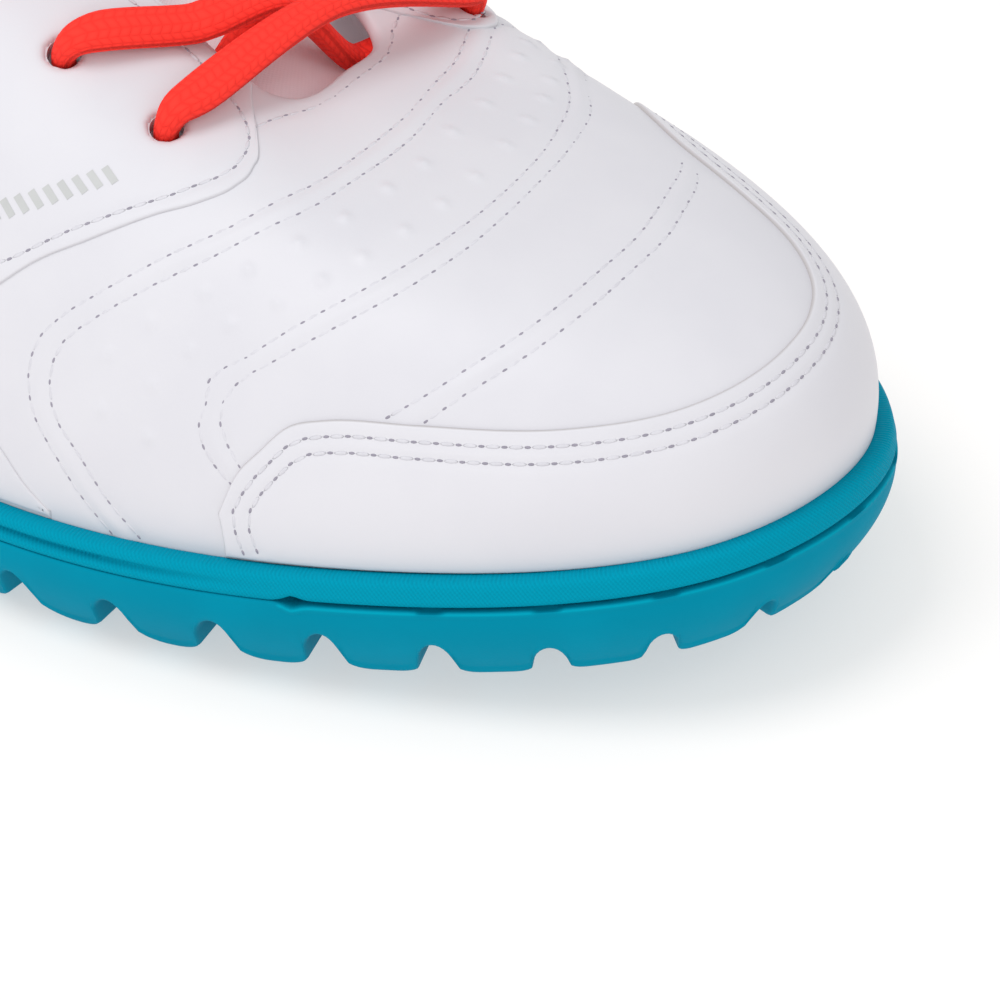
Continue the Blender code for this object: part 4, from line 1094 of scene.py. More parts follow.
    def build_studs(self, finish: bpy.types.Material) -> bpy.types.Object:
        """Tapered six-sided studs in staggered rows inside the skirt."""
        last = self.last
        rows = int(last.length / self.stud_pitch)
        clear = self.lug_taper + self.lug_band + 0.5 * self.stud_top + 1.5 * MM
        inner = last.on_outline(np.linspace(0.0, 1.0, 361)[:-1], clear)
        places = []
        for row in range(rows):
            x = (row + 0.5 - 0.5 * rows) * self.stud_pitch
            crossing = [
                y0 + (y1 - y0) * (x - x0) / (x1 - x0)
                for (x0, y0), (x1, y1) in zip(inner, np.roll(inner, -1, axis=0))
                if (x0 - x) * (x1 - x) < 0
            ]
            if len(crossing) < 2:
                continue
            across = int((max(crossing) - min(crossing)) / self.stud_pitch) + 1
            middle = 0.5 * (min(crossing) + max(crossing))
            places += [(x, middle + (k - 0.5 * (across - 1)) * self.stud_pitch) for k in range(across)]
        plan = np.array(places)
        height = last.lug_height + 0.6 * MM
        points = np.column_stack([plan, last.spring(plan[:, 0]) + 0.5 * height])
        facing = np.tile([0.0, 0.0, -1.0], (len(points), 1))
        heading = np.tile([1.0, 0.0, 0.0], (len(points), 1))
        wide = self.stud_top
        maker = Repeater("outsole_studs", Form.PEG, wide, wide, height, sides=6, sink=0.5 * height)
        return maker.spread(points, facing, heading, finish)

    def build_midsole(self, finish: bpy.types.Material) -> bpy.types.Object:
        """Band above the groove with its rounded rim and the recess the upper stands in."""
        last, around = self.last, self._columns()
        x = last.on_outline(around)[:, 0]
        rim, parting = last.rim(x), last.parting(x)
        width, depth = self._groove(around)
        low = parting + 0.5 * width
        lip = last.rim_lip
        rear = smooth_step((0.395 - around) / 0.04) + smooth_step((around - 0.605) / 0.04)
        rows = [
            (depth + 0.8 * MM, low),
            (depth, low),
            (0.25 * MM, low + 0.02 * MM),
            (0.06 * MM, low + 0.25 * MM),
            (0.0 * MM, low + 0.7 * MM),
        ]
        shoulder = rim - self.rim_round
        for t in (0.15, 0.3, 0.45, 0.6, 0.75, 0.9, 1.0):
            hollow = self.side_hollow * rear * math.sin(math.pi * t) ** 2
            rows.append((self.rim_draft * t + hollow, (low + 0.7 * MM) * (1.0 - t) + shoulder * t))
        for turn in (30.0, 60.0, 90.0):
            a = math.radians(turn)
            step = self.rim_round * (1.0 - math.cos(a))
            rows.append((self.rim_draft + step, shoulder + self.rim_round * math.sin(a)))
        rows += [
            (lip - 0.35 * MM, rim - 0.02 * MM),
            (lip - 0.05 * MM, rim - 0.2 * MM),
            (lip, rim - 0.8 * MM),
            (lip, rim - self.recess_depth),
        ]
        grid = self._rings(around, rows)
        made = self._close("midsole_band", finish, grid, 60.0)
        heights = grid[..., 2] / MM
        along = np.broadcast_to(around * last.girth / MM, heights.shape)
        point_uvs(made, np.column_stack([along.ravel(), heights.ravel()]))
        return made

    def build_insole(self, finish: bpy.types.Material) -> bpy.types.Object:
        """Cloth-covered footbed with a cupped edge."""
        last = self.last
        half = np.linspace(0.0, 0.5, 141)
        around = np.concatenate([half, 1.0 - half[-2:0:-1]])
        inset = last.rim_lip + last.gap + self.upper_wall + 1.2 * MM
        x = last.on_outline(around)[:, 0]
        bottom = last.rim(x) - self.recess_depth + last.gap
        thick = self.insole_thickness
        rows = [
            (inset + 0.6 * MM, bottom), (inset, bottom + 0.6 * MM), (inset, bottom + thick - 1.1 * MM),
            (inset + 0.3 * MM, bottom + thick - 0.4 * MM), (inset + 1.0 * MM, bottom + thick),
            (inset + 2.4 * MM, bottom + thick - 0.15 * MM), (inset + 5.0 * MM, bottom + thick - 0.5 * MM),
            (inset + 9.0 * MM, bottom + thick - 0.8 * MM),
        ]
        grid = self._rings(around, rows)
        made = self._close("insole_footbed", finish, grid, 60.0)
        point_uvs(made, grid.reshape(-1, 3)[:, :2] / MM)
        return made


@dataclass
class Upper:
    """The leather upper: its skin, its lining, its overlays and everything stitched or pressed into them."""

    last: Last
    skin_out: float = 0.4 * MM
    wall: float = 2.0 * MM
    collar_pad: float = 3.6 * MM
    lining_depth: float = 0.55 * MM
    lining_girth: float = 95.0
    overlay_step: float = 0.55 * MM
    quarter_step: float = 0.35 * MM
    waist_step: float = 0.25 * MM
    hole_radius: float = 2.1 * MM
    hole_depth: float = 2.1 * MM
    hole_reach: float = 5.0 * MM
    hole_dip: float = 0.35 * MM
    hole_dip_width: float = 0.55 * MM
    fine_spacing: float = 0.56 * MM
    plain_spacing: float = 2.3 * MM
    line_step: float = 0.5 * MM
    panel_round: float = 0.45 * MM
    panel_shade: float = 0.16 * MM
    stitch_sink: float = 0.12 * MM
    seam_press: float = 0.13 * MM
    seam_half_width: float = 0.75 * MM
    fold_rise: float = 0.12 * MM
    fold_half_width: float = 1.0 * MM
    throat_press: float = 0.12 * MM
    throat_half_width: float = 0.7 * MM
    row_press: float = 0.14 * MM
    row_half_width: float = 0.7 * MM
    dot_rise: float = 0.34 * MM
    dot_half_width: float = 0.75 * MM
    eyelet_inset: float = 13.6 * MM
    first_eyelet: float = 0.714
    eyelet_pitch: float = 0.050
    eyelet_pairs: int = 6
    quarter_mirror: float = 1.010
    stitch_pitch: float = 2.7 * MM
    thread_size: tuple = (1.8 * MM, 0.5 * MM, 0.16 * MM)
    needle_size: tuple = (0.8 * MM, 0.36 * MM, 0.15 * MM)
    tick_pitch: float = 1.9 * MM
    tick_size: tuple = (2.5 * MM, 0.95 * MM, 0.10 * MM)
    relief: Relief = field(default_factory=Relief)
    seams: list = field(default_factory=list)
    holes: list = field(default_factory=list)

    def plan(self) -> None:
        """Places the eyelets and every stitched line before any surface is made."""
        last = self.last
        for i in range(self.eyelet_pairs):
            for side in Side:
                edge = last.throat_edge(side, self.first_eyelet - i * self.eyelet_pitch)
                spot = last.off_edge(edge, self.eyelet_inset)
                self.holes.append((last.point(*spot), last.normal(*spot)))
        pairs = (
            (SEAM_FRONT_BACK, SEAM_FRONT_TOE), (SEAM_MIDDLE_BACK, SEAM_MIDDLE_TOE), (SEAM_REAR_BACK, SEAM_REAR_TOE),
        )
        for back, toe in pairs:
            lines = [last.trace(rows, self.line_step) for rows in (back, toe)]
            for line in lines:
                self.relief.add(last.point(*line.T), -self.seam_press, self.seam_half_width)
            count = min(len(line) for line in lines)
            halves = [line[np.linspace(0, len(line) - 1, count).astype(int)] for line in lines]
            middle = 0.5 * (halves[0] + halves[1])
            self.relief.add(last.point(*middle.T), self.fold_rise, self.fold_half_width)
            self.seams += [(back, self.skin_out, 0.0), (toe, self.skin_out, 0.0)]
        self.seams.append((THROAT_ROW, self.skin_out, 0.0))
        throat = last.trace(THROAT_ROW, self.line_step)
        self.relief.add(last.point(*throat.T), -self.throat_press, self.throat_half_width)
        dots = np.array(DOTS_UPPER + DOTS_LOWER)
        self.relief.add(last.point(*dots.T), self.dot_rise, self.dot_half_width)

    def build_skin(self, finish: bpy.types.Material) -> bpy.types.Object:
        """The leather wall from the recess up to the rolled edge of collar and throat, with blind lace holes."""
        last = self.last
        fine, plain = self.fine_spacing / last.girth, self.plain_spacing / last.girth
        around = even_columns(
            ((0.0, plain), (0.30, plain), (0.335, fine), (0.60, fine), (0.64, plain), (1.0, plain)),
        )
        share = np.concatenate([np.linspace(0.0, 0.96, 134), [0.975, 0.988, 1.0]])
        spread, rise = np.meshgrid(around, share)
        base = last.point(spread, rise)
        normal = last.normal(spread, rise)
        out = self.skin_out + self.relief.at(base)
        outer = base + normal * out[..., None]
        skip = self._snap_holes(outer, outer)
        foot = outer[0] - [0.0, 0.0, last.rim_lip - 0.5 * MM]
        edge, edge_normal = base[-1], normal[-1]
        up = unit(last.point(around, 1.0) - last.point(around, 0.985))
        roll = []
        half = 0.5 * (self.wall + self.skin_out)
        centre = edge + edge_normal * (self.skin_out - half)
        for turn in (30.0, 60.0, 90.0, 120.0, 150.0):
            a = math.radians(turn)
            roll.append(centre + edge_normal * half * math.cos(a) + up * 0.9 * MM * math.sin(a))
        down = np.concatenate([[1.0], np.linspace(0.94, 0.0, 12)])
        spread_in, rise_in = np.meshgrid(around, down)
        inner = last.wall(spread_in, rise_in, -self.wall)
        inner_foot = inner[-1].copy()
        inner_foot[:, 2] = foot[:, 2]
        body = Body()
        index = body.add(np.concatenate([[foot], outer, roll, inner, [inner_foot]]))
        mask = np.zeros((index.shape[0] - 1, index.shape[1]), bool)
        mask[1:1 + skip.shape[0]] = skip
        body.quads(index, closed=True, skip=mask)
        body.quads(np.stack([index[-1], index[0]]), closed=True)
        self._line_holes(body, index, mask, self.hole_depth)
        made = body.make("upper_skin", finish, 60.0)
        point_values(made, "edge", np.zeros(body.count))
        return made

    def _snap_holes(self, outer: np.ndarray, shape: np.ndarray, closed: bool = True) -> np.ndarray:
        """Marks the faces inside each lace hole and pulls the points round it onto its circle.

        Args:
            outer: grid of the outer face, changed in place.
            shape: grid that says where the points were.
            closed: the grid's last column meets its first.

        Returns:
            True for each face that the holes take away.
        """
        rows, columns = outer.shape[:2]
        skip = np.zeros((rows - 1, columns if closed else columns - 1), bool)
        for centre, facing in self.holes:
            away = shape - centre
            depth = away @ facing
            flat = away - depth[..., None] * facing
            distance = np.linalg.norm(flat, axis=-1)
            inside = (distance < self.hole_radius + 0.05 * MM) & (np.abs(depth) < self.hole_reach)
            right = np.roll(inside, -1, axis=1) if closed else inside[:, 1:]
            left = inside if closed else inside[:, :-1]
            gone = left[:-1] & right[:-1] & right[1:] & left[1:]
            skip |= gone
            touched = np.zeros((rows, columns), bool)
            for r, c in np.argwhere(gone):
                for k in ((r, c), (r, (c + 1) % columns), (r + 1, c), (r + 1, (c + 1) % columns)):
                    touched[k] = True
            ring = centre + unit(flat) * self.hole_radius + depth[..., None] * facing
            outer[touched] = ring[touched]
            beyond = np.maximum(distance - self.hole_radius, 0.0)
            dip = self.hole_dip * np.exp(-(beyond / self.hole_dip_width) ** 2)
            dip[np.abs(depth) > self.hole_reach] = 0.0
            outer -= facing * dip[..., None]
        return skip

    def _line_holes(self, body: Body, index: np.ndarray, skip: np.ndarray, depth: float) -> None:
        """Gives each hole a wall down into the leather and a floor out of sight."""
        columns = index.shape[1]
        points = np.vstack(body.points)
        sunk: dict[int, int] = {}
        for r, c in np.argwhere(skip):
            n = (c + 1) % columns
            corners = (index[r, c], index[r, n], index[r + 1, n], index[r + 1, c])
            nearby = (
                skip[r - 1, c] if r else False,
                skip[r, n] if n < skip.shape[1] else False,
                skip[r + 1, c] if r + 1 < skip.shape[0] else False,
                skip[r, c - 1],
            )
            lows = []
            for corner in corners:
                corner = int(corner)
                if corner not in sunk:
                    place = points[corner]
                    facing = min(self.holes, key=lambda hole: np.linalg.norm(hole[0] - place))[1]
                    sunk[corner] = int(body.add((place - facing * depth)[None, :])[0])
                lows.append(sunk[corner])
            body.faces.append(lows)
            for k in range(4):
                if not nearby[k]:
                    a, b = int(corners[k]), int(corners[(k + 1) % 4])
                    body.faces.append([a, b, lows[(k + 1) % 4], lows[k]])

    def build_overlay(
        self, name: str, edge: tuple, finish: bpy.types.Material, lower: float | None = None,
        upper: float | None = None, fine: float = 0.5, step: float | None = None, marks: tuple = (),
        mirrored: bool = False, holes: bool = False, line: float = 0.8,
    ) -> bpy.types.Object:
        """A thin crisp-edged panel over the skin.

        Args:
            name: the piece's name.
            edge: its shaped edge as rows of share around and share up.
            finish: its material.
            lower: the other edge's share where the shaped edge is the upper one.
            upper: the other edge's share where the shaped edge is the lower one.
            fine: spacing of its points, in mm.
            step: how proud it stands of the skin.
            marks: stitched rows on it, as rows and how far they are moved.
            mirrored: takes the edge to the medial side.
            holes: cuts the lace holes through it.
            line: how strongly its rim is darkened with painted shade.

        Returns:
            The panel as a closed thin shell.
        """
        last = self.last
        step = self.overlay_step if step is None else step
        table = np.asarray(edge, float)
        if mirrored:
            table = np.column_stack([self.quarter_mirror - table[::-1, 0], table[::-1, 1]])
        close = fine * MM / last.girth
        first, final = table[0, 0], table[-1, 0]
        tiny = np.array([0.0, 0.1, 0.25, 0.45]) * MM / last.girth
        inner_columns = np.linspace(first + close, final - close, int((final - first) / close))
        around = np.concatenate([first + tiny, inner_columns, final - tiny[::-1]])
        shaped = open_spline(*table.T, around)[:, 0]
        bottom = np.full(len(around), lower) if lower is not None else shaped
        top = np.full(len(around), upper) if upper is not None else shaped
        reach = np.linalg.norm(last.slopes(around, 0.5 * (bottom + top))[1], axis=-1)
        near = np.array([0.0, 0.1, 0.25, 0.45, 0.8]) * MM
        tall = float(((top - bottom) * reach).max())
        middle = np.linspace(0.0, 1.0, max(6, int(tall / (fine * MM))))[1:-1]
        low = bottom + near[:, None] / reach
        high = top - near[::-1][:, None] / reach
        between = low[-1] + (high[0] - low[-1]) * middle[:, None]
        share = np.concatenate([low, between, high])
        spread = np.broadcast_to(around, share.shape)
        base, normal = last.point(spread, share), last.normal(spread, share)
        border = np.concatenate([base[0], base[-1], base[:, 0], base[:, -1]])
        distance = nearest(border, base.reshape(-1, 3)).reshape(share.shape)
        local = Relief()
        for rows, moved in marks:
            row = last.trace(rows, self.line_step, moved)
            if mirrored:
                row = np.column_stack([self.quarter_mirror - row[:, 0], row[:, 1]])
            local.add(last.point(*row.T), -self.row_press, self.row_half_width)
            self.seams.append((row, self.skin_out + step, None))
        crown = np.sqrt(1.0 - (1.0 - np.clip(distance / self.panel_round, 0.0, 1.0)) ** 2)
        out = self.skin_out + 0.05 * MM + (step - 0.05 * MM) * crown + local.at(base)
        outer = base + normal * out[..., None]
        inner = base + normal * 0.1 * MM
        skip = np.zeros((share.shape[0] - 1, share.shape[1] - 1), bool)
        if holes:
            skip = self._snap_holes(outer, base, closed=False)
            self._snap_holes(inner, base, closed=False)
        body = Body()
        face, back = body.add(outer), body.add(inner)
        body.quads(face, skip=skip)
        body.quads(back, flip=True, skip=skip)
        self._border(body, face, back, skip)
        made = body.make(name, finish, 60.0)
        # Painted shade: the top face darkens towards its rim over panel_shade, and the back face and the cut walls
        # take the full edge colour, scaled by line.
        mask = np.concatenate([np.exp(-((distance / self.panel_shade) ** 2)).ravel(), np.ones(distance.size)])
        point_values(made, "edge", line * mask)
        return made

    def _border(self, body: Body, face: np.ndarray, back: np.ndarray, skip: np.ndarray) -> None:
        """Walls between the two faces of a panel, round its outline and round each hole."""
        rows, columns = skip.shape
        kept = ~skip
        for r, c in np.argwhere(kept):
            corners = ((r, c), (r, c + 1), (r + 1, c + 1), (r + 1, c))
            nearby = (
                r > 0 and kept[r - 1, c], c + 1 < columns and kept[r, c + 1],
                r + 1 < rows and kept[r + 1, c], c > 0 and kept[r, c - 1],
            )
            if all(nearby):
                continue
            for k in range(4):
                if not nearby[k]:
                    a, b = corners[k], corners[(k + 1) % 4]
                    body.faces.append([int(face[b]), int(face[a]), int(back[a]), int(back[b])])

    def build_lining(self, finish: bpy.types.Material) -> bpy.types.Object:
        """Cloth lining inside the wall, padded round the collar."""
        last = self.last
        around = np.arange(360) / 360
        share = np.concatenate([np.linspace(0.02, 0.90, 34), [0.93, 0.955, 0.975, 0.985]])
        spread, rise = np.meshgrid(around, share)
        collar = 1.0 - smooth_step((np.minimum(around, 1.0 - around) - 0.20) / 0.05)
        bulge = np.sin(np.pi * np.clip((rise - 0.62) / 0.40, 0.0, 1.0)) ** 1.5 * collar
        near = last.wall(spread, rise, -self.wall - 0.04 * MM)
        far = last.wall(spread, rise, -self.wall - self.lining_depth)
        far -= last.normal(spread, rise) * (self.collar_pad * bulge)[..., None]
        body = Body()
        index = body.add(np.concatenate([near, far[::-1]]))
        body.quads(np.concatenate([index, index[:1]]), closed=True)
        made = body.make("lining_cloth", finish, 70.0)
        along = np.broadcast_to(around * last.girth / MM, rise.shape)
        pair = np.stack([along, rise * self.lining_girth], axis=-1)
        point_uvs(made, np.concatenate([pair, pair[::-1]]).reshape(-1, 2))
        return made

    def build_stitches(self, thread: bpy.types.Material, shade: bpy.types.Material) -> list[bpy.types.Object]:
        """White thread over every seam and, between, small dark beads of painted shade at the needle holes."""
        last = self.last
        beads, hole_shade_spots = [], []
        for rows, out, moved in self.seams:
            line = rows if moved is None else last.trace(rows, self.stitch_pitch, moved)
            if moved is None:
                length = lengths_along(last.point(*line.T))
                at = np.linspace(0.0, length[-1], max(3, int(round(length[-1] / self.stitch_pitch)) + 1))
                line = resample(length, line, at)
            facing = last.normal(*line.T)
            places = last.point(*line.T) + facing * (out - self.stitch_sink)
            heading = unit(np.gradient(places, axis=0))
            # Dark beads at each needle hole: painted shade.
            hole_shade_spots.append((places, facing, heading))
            half = 0.5 * (places[1:] + places[:-1])
            beads.append(
                (half + facing[1:] * 0.01 * MM, unit(facing[1:] + facing[:-1]), unit(heading[1:] + heading[:-1]))
            )
        made = []
        forms = (
            (Repeater("seam_thread", Form.BEAD, *self.thread_size), beads, thread),
            (Repeater("needle_holes", Form.BEAD, *self.needle_size), hole_shade_spots, shade),
        )
        for maker, sets, finish in forms:
            points, facing, heading = (np.vstack([s[k] for s in sets]) for k in range(3))
            made.append(maker.spread(points, facing, heading, finish))
        return made

    def build_ticks(self, finish: bpy.types.Material) -> bpy.types.Object:
        """A plain row of short slanted grey bars on each quarter."""
        last = self.last
        sets = []
        for mirrored in (False, True):
            line = last.trace(TICK_LINE, self.tick_pitch)
            if mirrored:
                line[:, 0] = self.quarter_mirror - line[:, 0]
            facing = last.normal(*line.T)
            points = last.point(*line.T) + facing * (self.skin_out + self.quarter_step)
            ahead = unit(np.gradient(points, axis=0))
            across = np.cross(facing, ahead) * (-1.0 if mirrored else 1.0)
            sets.append((points, facing, unit(across - 0.35 * ahead)))
        points, facing, heading = (np.vstack([s[k] for s in sets]) for k in range(3))
        return Repeater("grey_ticks", Form.SLAB, *self.tick_size).spread(points, facing, heading, finish)


@dataclass
class Tongue:
    """Padded cloth tongue under the throat with its free top."""

    last: Last
    thickness: float = 5.0 * MM
    centre_share: float = 0.508
    top_across: float = 3.0
    end_round: float = 3.0 * MM
    cloth_half_width: float = 24.0

    def _rows(self) -> np.ndarray:
        """Five points across the upper face for each row from under the vamp to the top."""
        last = self.last
        rows = []
        for share, down, half in TONGUE_TOE:
            around = self.centre_share + np.linspace(-half, half, 5)
            rows.append(last.wall(around, np.full(5, share), -down * MM))
        for along, middle, wing, width in TONGUE_ROWS:
            edges = [last.throat_edge(side, along) for side in Side]
            outs = [last.off_edge(edge, width * MM) for edge in edges]
            wings = [last.wall(np.array(o[0]), np.array(o[1]), -wing * MM) for o in outs]
            brinks = [last.wall(np.array(e), np.array(1.0), -wing * MM) for e in edges]
            centre = 0.5 * (last.point(edges[0], 1.0) + last.point(edges[1], 1.0)) - [0.0, 0.0, middle * MM]
            rows.append(np.array([wings[0], brinks[0], centre, brinks[1], wings[1]]))
        for along, half, height, drop in TONGUE_TOP:
            x = (along - 0.5) * last.length
            spots = ((-1.0, -1.0), (-0.55, -0.3), (0.0, 0.0), (0.55, -0.3), (1.0, -1.0))
            middle = self.top_across
            rows.append(np.array([(x, (middle + a * half) * MM, (height + b * drop) * MM) for a, b in spots]))
        return np.array(rows)

    def build(self, finish: bpy.types.Material) -> bpy.types.Object:
        """The tongue as one soft closed form."""
        rows = self._rows()
        knots = lengths_along(rows[:, 2])
        along = np.linspace(0.0, knots[-1], 110)
        net = open_spline(knots, rows.reshape(len(rows), -1), along).reshape(len(along), 5, 3)
        spread = np.linspace(0.0, 1.0, 41)
        top = np.zeros((len(along), len(spread), 3))
        marks = np.linspace(0.0, 1.0, 5)
        for i in range(5):
            weight = np.prod([(spread - m) / (marks[i] - m) for m in np.delete(marks, i)], axis=0)
            top += net[:, i:i + 1, :] * weight[None, :, None]
        down = unit(np.cross(np.gradient(top, axis=1), np.gradient(top, axis=0)))
        down *= np.where(down[..., 2:] > 0, -1.0, 1.0)
        side = 2.0 * spread - 1.0
        pad = self.thickness * np.sqrt(np.clip(1.0 - (0.985 * np.abs(side)) ** 4, 0.0, 1.0))
        ends = np.minimum(along, along[-1] - along)
        round_end = np.sqrt(np.clip(1.0 - (1.0 - np.clip(ends / self.end_round, 0.02, 1.0)) ** 2, 0.0, 1.0))
        thick = pad[None, :] * round_end[:, None]
        sunk = 0.5 * (self.thickness - thick)
        face = top + down * (sunk * 0.6 + 0.1 * MM)[..., None]
        back = top + down * (sunk * 0.6 + 0.1 * MM + thick)[..., None]
        body = Body()
        index, under = body.add(face), body.add(back)
        outward = np.cross(top[1, 0] - top[0, 0], top[0, 1] - top[0, 0]) @ down[0, 0]
        flip = bool(outward < 0)
        body.quads(index, flip=not flip)
        body.quads(under, flip=flip)
        loop = [np.concatenate([g[0], g[1:, -1], g[-1, -2::-1], g[-2:0:-1, 0]]) for g in (index, under)]
        body.quads(np.stack(loop), closed=True, flip=flip)
        made = body.make("tongue_pad", finish, 80.0)
        pair = np.stack(np.meshgrid(side * self.cloth_half_width, along / MM), axis=-1).reshape(-1, 2)
        point_uvs(made, np.vstack([pair, pair]))
        return made


@dataclass
class Lace:
    """One braided lace from the last eyelets down, straight across the first pair, its ends hidden."""

    last: Last
    upper: Upper
    width: float = 5.4 * MM
    thickness: float = 3.0 * MM
    in_hole: float = 3.0 * MM
    clearance: float = 0.15 * MM
    sides: int = 24
    step: float = 0.6 * MM
    bar_rise: float = 5.2 * MM
    cross_rise: float = 5.0 * MM
    crossing_lifts: tuple = (-1.2 * MM, 1.6 * MM)

    def _heading(self, hole: tuple, target: tuple) -> tuple[np.ndarray, np.ndarray]:
        """Direction over the leather from one hole to another, and where that line meets the throat's edge."""
        side, along, place, outward = hole
        square = self.last.point(self.last.throat_edge(side, along), 1.0) - place
        square -= outward * (square @ outward)
        toward = target[2] - place
        toward = unit(toward - outward * (toward @ outward))
        reach = np.linalg.norm(square) / max(float(toward @ unit(square)), 0.6)
        along = (place + toward * reach)[0] / self.last.length + 0.5
        return toward, self.last.point(self.last.throat_edge(side, along), 1.0)

    def _passage(self, hole: tuple, over: tuple, beneath: tuple | None, turn: float) -> list:
        """Path points of the lace through one hole.

        Args:
            hole: side, place along, centre and outward direction.
            over: the hole it comes from on top.
            beneath: the hole it goes to underneath, none at the hidden end.
            turn: 1 or -1, which face of the lace looks up.

        Returns:
            Rows of point, up, width and thickness.
        """
        _, _, place, outward = hole
        above = self.upper.skin_out + self.upper.overlay_step + self.clearance + 0.5 * self.thickness
        under = self.upper.wall + 1.0 * MM + 0.5 * self.thickness
        narrow, flat, thick = self.in_hole, self.width, self.thickness
        ahead, edge = self._heading(hole, over)
        rows = [
            (edge + ahead * 2.0 * MM + outward * (above + 0.3 * MM), turn * outward, flat, thick),
            (edge + outward * (above + 0.3 * MM), turn * outward, flat, thick),
            (place + ahead * 4.6 * MM + outward * (above + 0.1 * MM), turn * outward, flat, thick),
            (
                place + ahead * 1.5 * MM + outward * (above - 0.1 * MM), turn * (outward - 0.6 * ahead),
                0.78 * flat, 1.1 * thick,
            ),
            (place + ahead * 0.1 * MM + outward * 0.15 * above, -turn * ahead, 1.05 * narrow, narrow),
            (place - outward * 0.6 * under, -turn * ahead, narrow, narrow),
        ]
        away, edge = self._heading(hole, beneath or over)
        rows += [
            (place + away * 1.2 * MM - outward * (under + 0.3 * MM), -turn * (outward + away), 0.7 * flat, thick),
            (place + away * 5.0 * MM - outward * (under + 0.2 * MM), -turn * outward, 0.9 * flat, thick),
        ]
        if beneath:
            rows.append((edge - outward * (under + 0.2 * MM), -turn * outward, flat, thick))
            rows.append((edge + away * 2.0 * MM - outward * (under + 0.1 * MM), -turn * outward, flat, thick))
        return rows

    def _path(self) -> np.ndarray:
        """The whole path as evenly spaced rows of point, up, width and thickness."""
        up, pairs = np.array([0.0, 0.0, 1.0]), self.upper.eyelet_pairs
        holes = [
            [(side, self.upper.first_eyelet - i * self.upper.eyelet_pitch, *self.upper.holes[2 * i + side.value])
             for side in Side]
            for i in range(pairs)
        ]
        halves = []
        for start in (0, 1):
            side, turn = start, 1.0
            path = self._passage(holes[0][side], holes[0][1 - side], holes[1][1 - side], turn)
            for i in range(1, pairs):
                side, turn = 1 - side, -turn
                beneath = holes[i + 1][1 - side] if i + 1 < pairs else None
                rows = self._passage(holes[i][side], holes[i - 1][1 - side], beneath, turn)
                lift = self.crossing_lifts[(i + start) % 2]
                if i == 1 and start == 1:
                    lift = self.cross_rise
                path.append((0.5 * (path[-1][0] + rows[0][0]) + up * lift, turn * up, self.width, self.thickness))
                path += rows
            halves.append(path)
        halves = [half[2:] for half in halves]
        middle = 0.5 * (halves[0][0][0] + halves[1][0][0]) + up * self.bar_rise
        bar = [(middle, up, self.width, self.thickness)]
        path = halves[0][::-1] + bar + halves[1]
        rows = np.array([np.concatenate([point, up, [width, thick]]) for point, up, width, thick in path])
        knots = np.concatenate([[0.0], np.cumsum(np.sqrt(np.linalg.norm(np.diff(rows[:, :3], axis=0), axis=1)))])
        fine = open_spline(knots, rows, np.linspace(0.0, knots[-1], 6000))
        length = lengths_along(fine[:, :3])
        at = np.linspace(0.0, length[-1], int(length[-1] / self.step))
        return resample(length, fine, at)

    def build(self, finish: bpy.types.Material) -> bpy.types.Object:
        """The lace as one closed tube with a plump flat section."""
        rows = self._path()
        centre, up = rows[:, :3], rows[:, 3:6]
        ahead = unit(np.gradient(centre, axis=0))
        aside = unit(np.cross(ahead, up))
        up = np.cross(aside, ahead)
        turns = np.arange(self.sides) * math.tau / self.sides
        round_x = np.sign(np.cos(turns)) * np.abs(np.cos(turns)) ** 0.85
        round_y = np.sign(np.sin(turns)) * np.abs(np.sin(turns)) ** 0.9
        rings = (
            centre[:, None, :]
            + aside[:, None, :] * (0.5 * rows[:, 6, None] * round_x)[..., None]
            + up[:, None, :] * (0.5 * rows[:, 7, None] * round_y)[..., None]
        )
        body = Body()
        index = body.add(rings)
        body.quads(index, closed=True, flip=True)
        body.faces.append(index[0].tolist())
        body.faces.append(index[-1][::-1].tolist())
        made = body.make("lace_braid", finish, 70.0)
        across = np.broadcast_to(turns / math.tau * LACE_ROUND, (len(rings), self.sides))
        along = np.broadcast_to((np.arange(len(rings)) * self.step / MM)[:, None], across.shape)
        point_uvs(made, np.column_stack([across.ravel(), along.ravel()]))
        return made


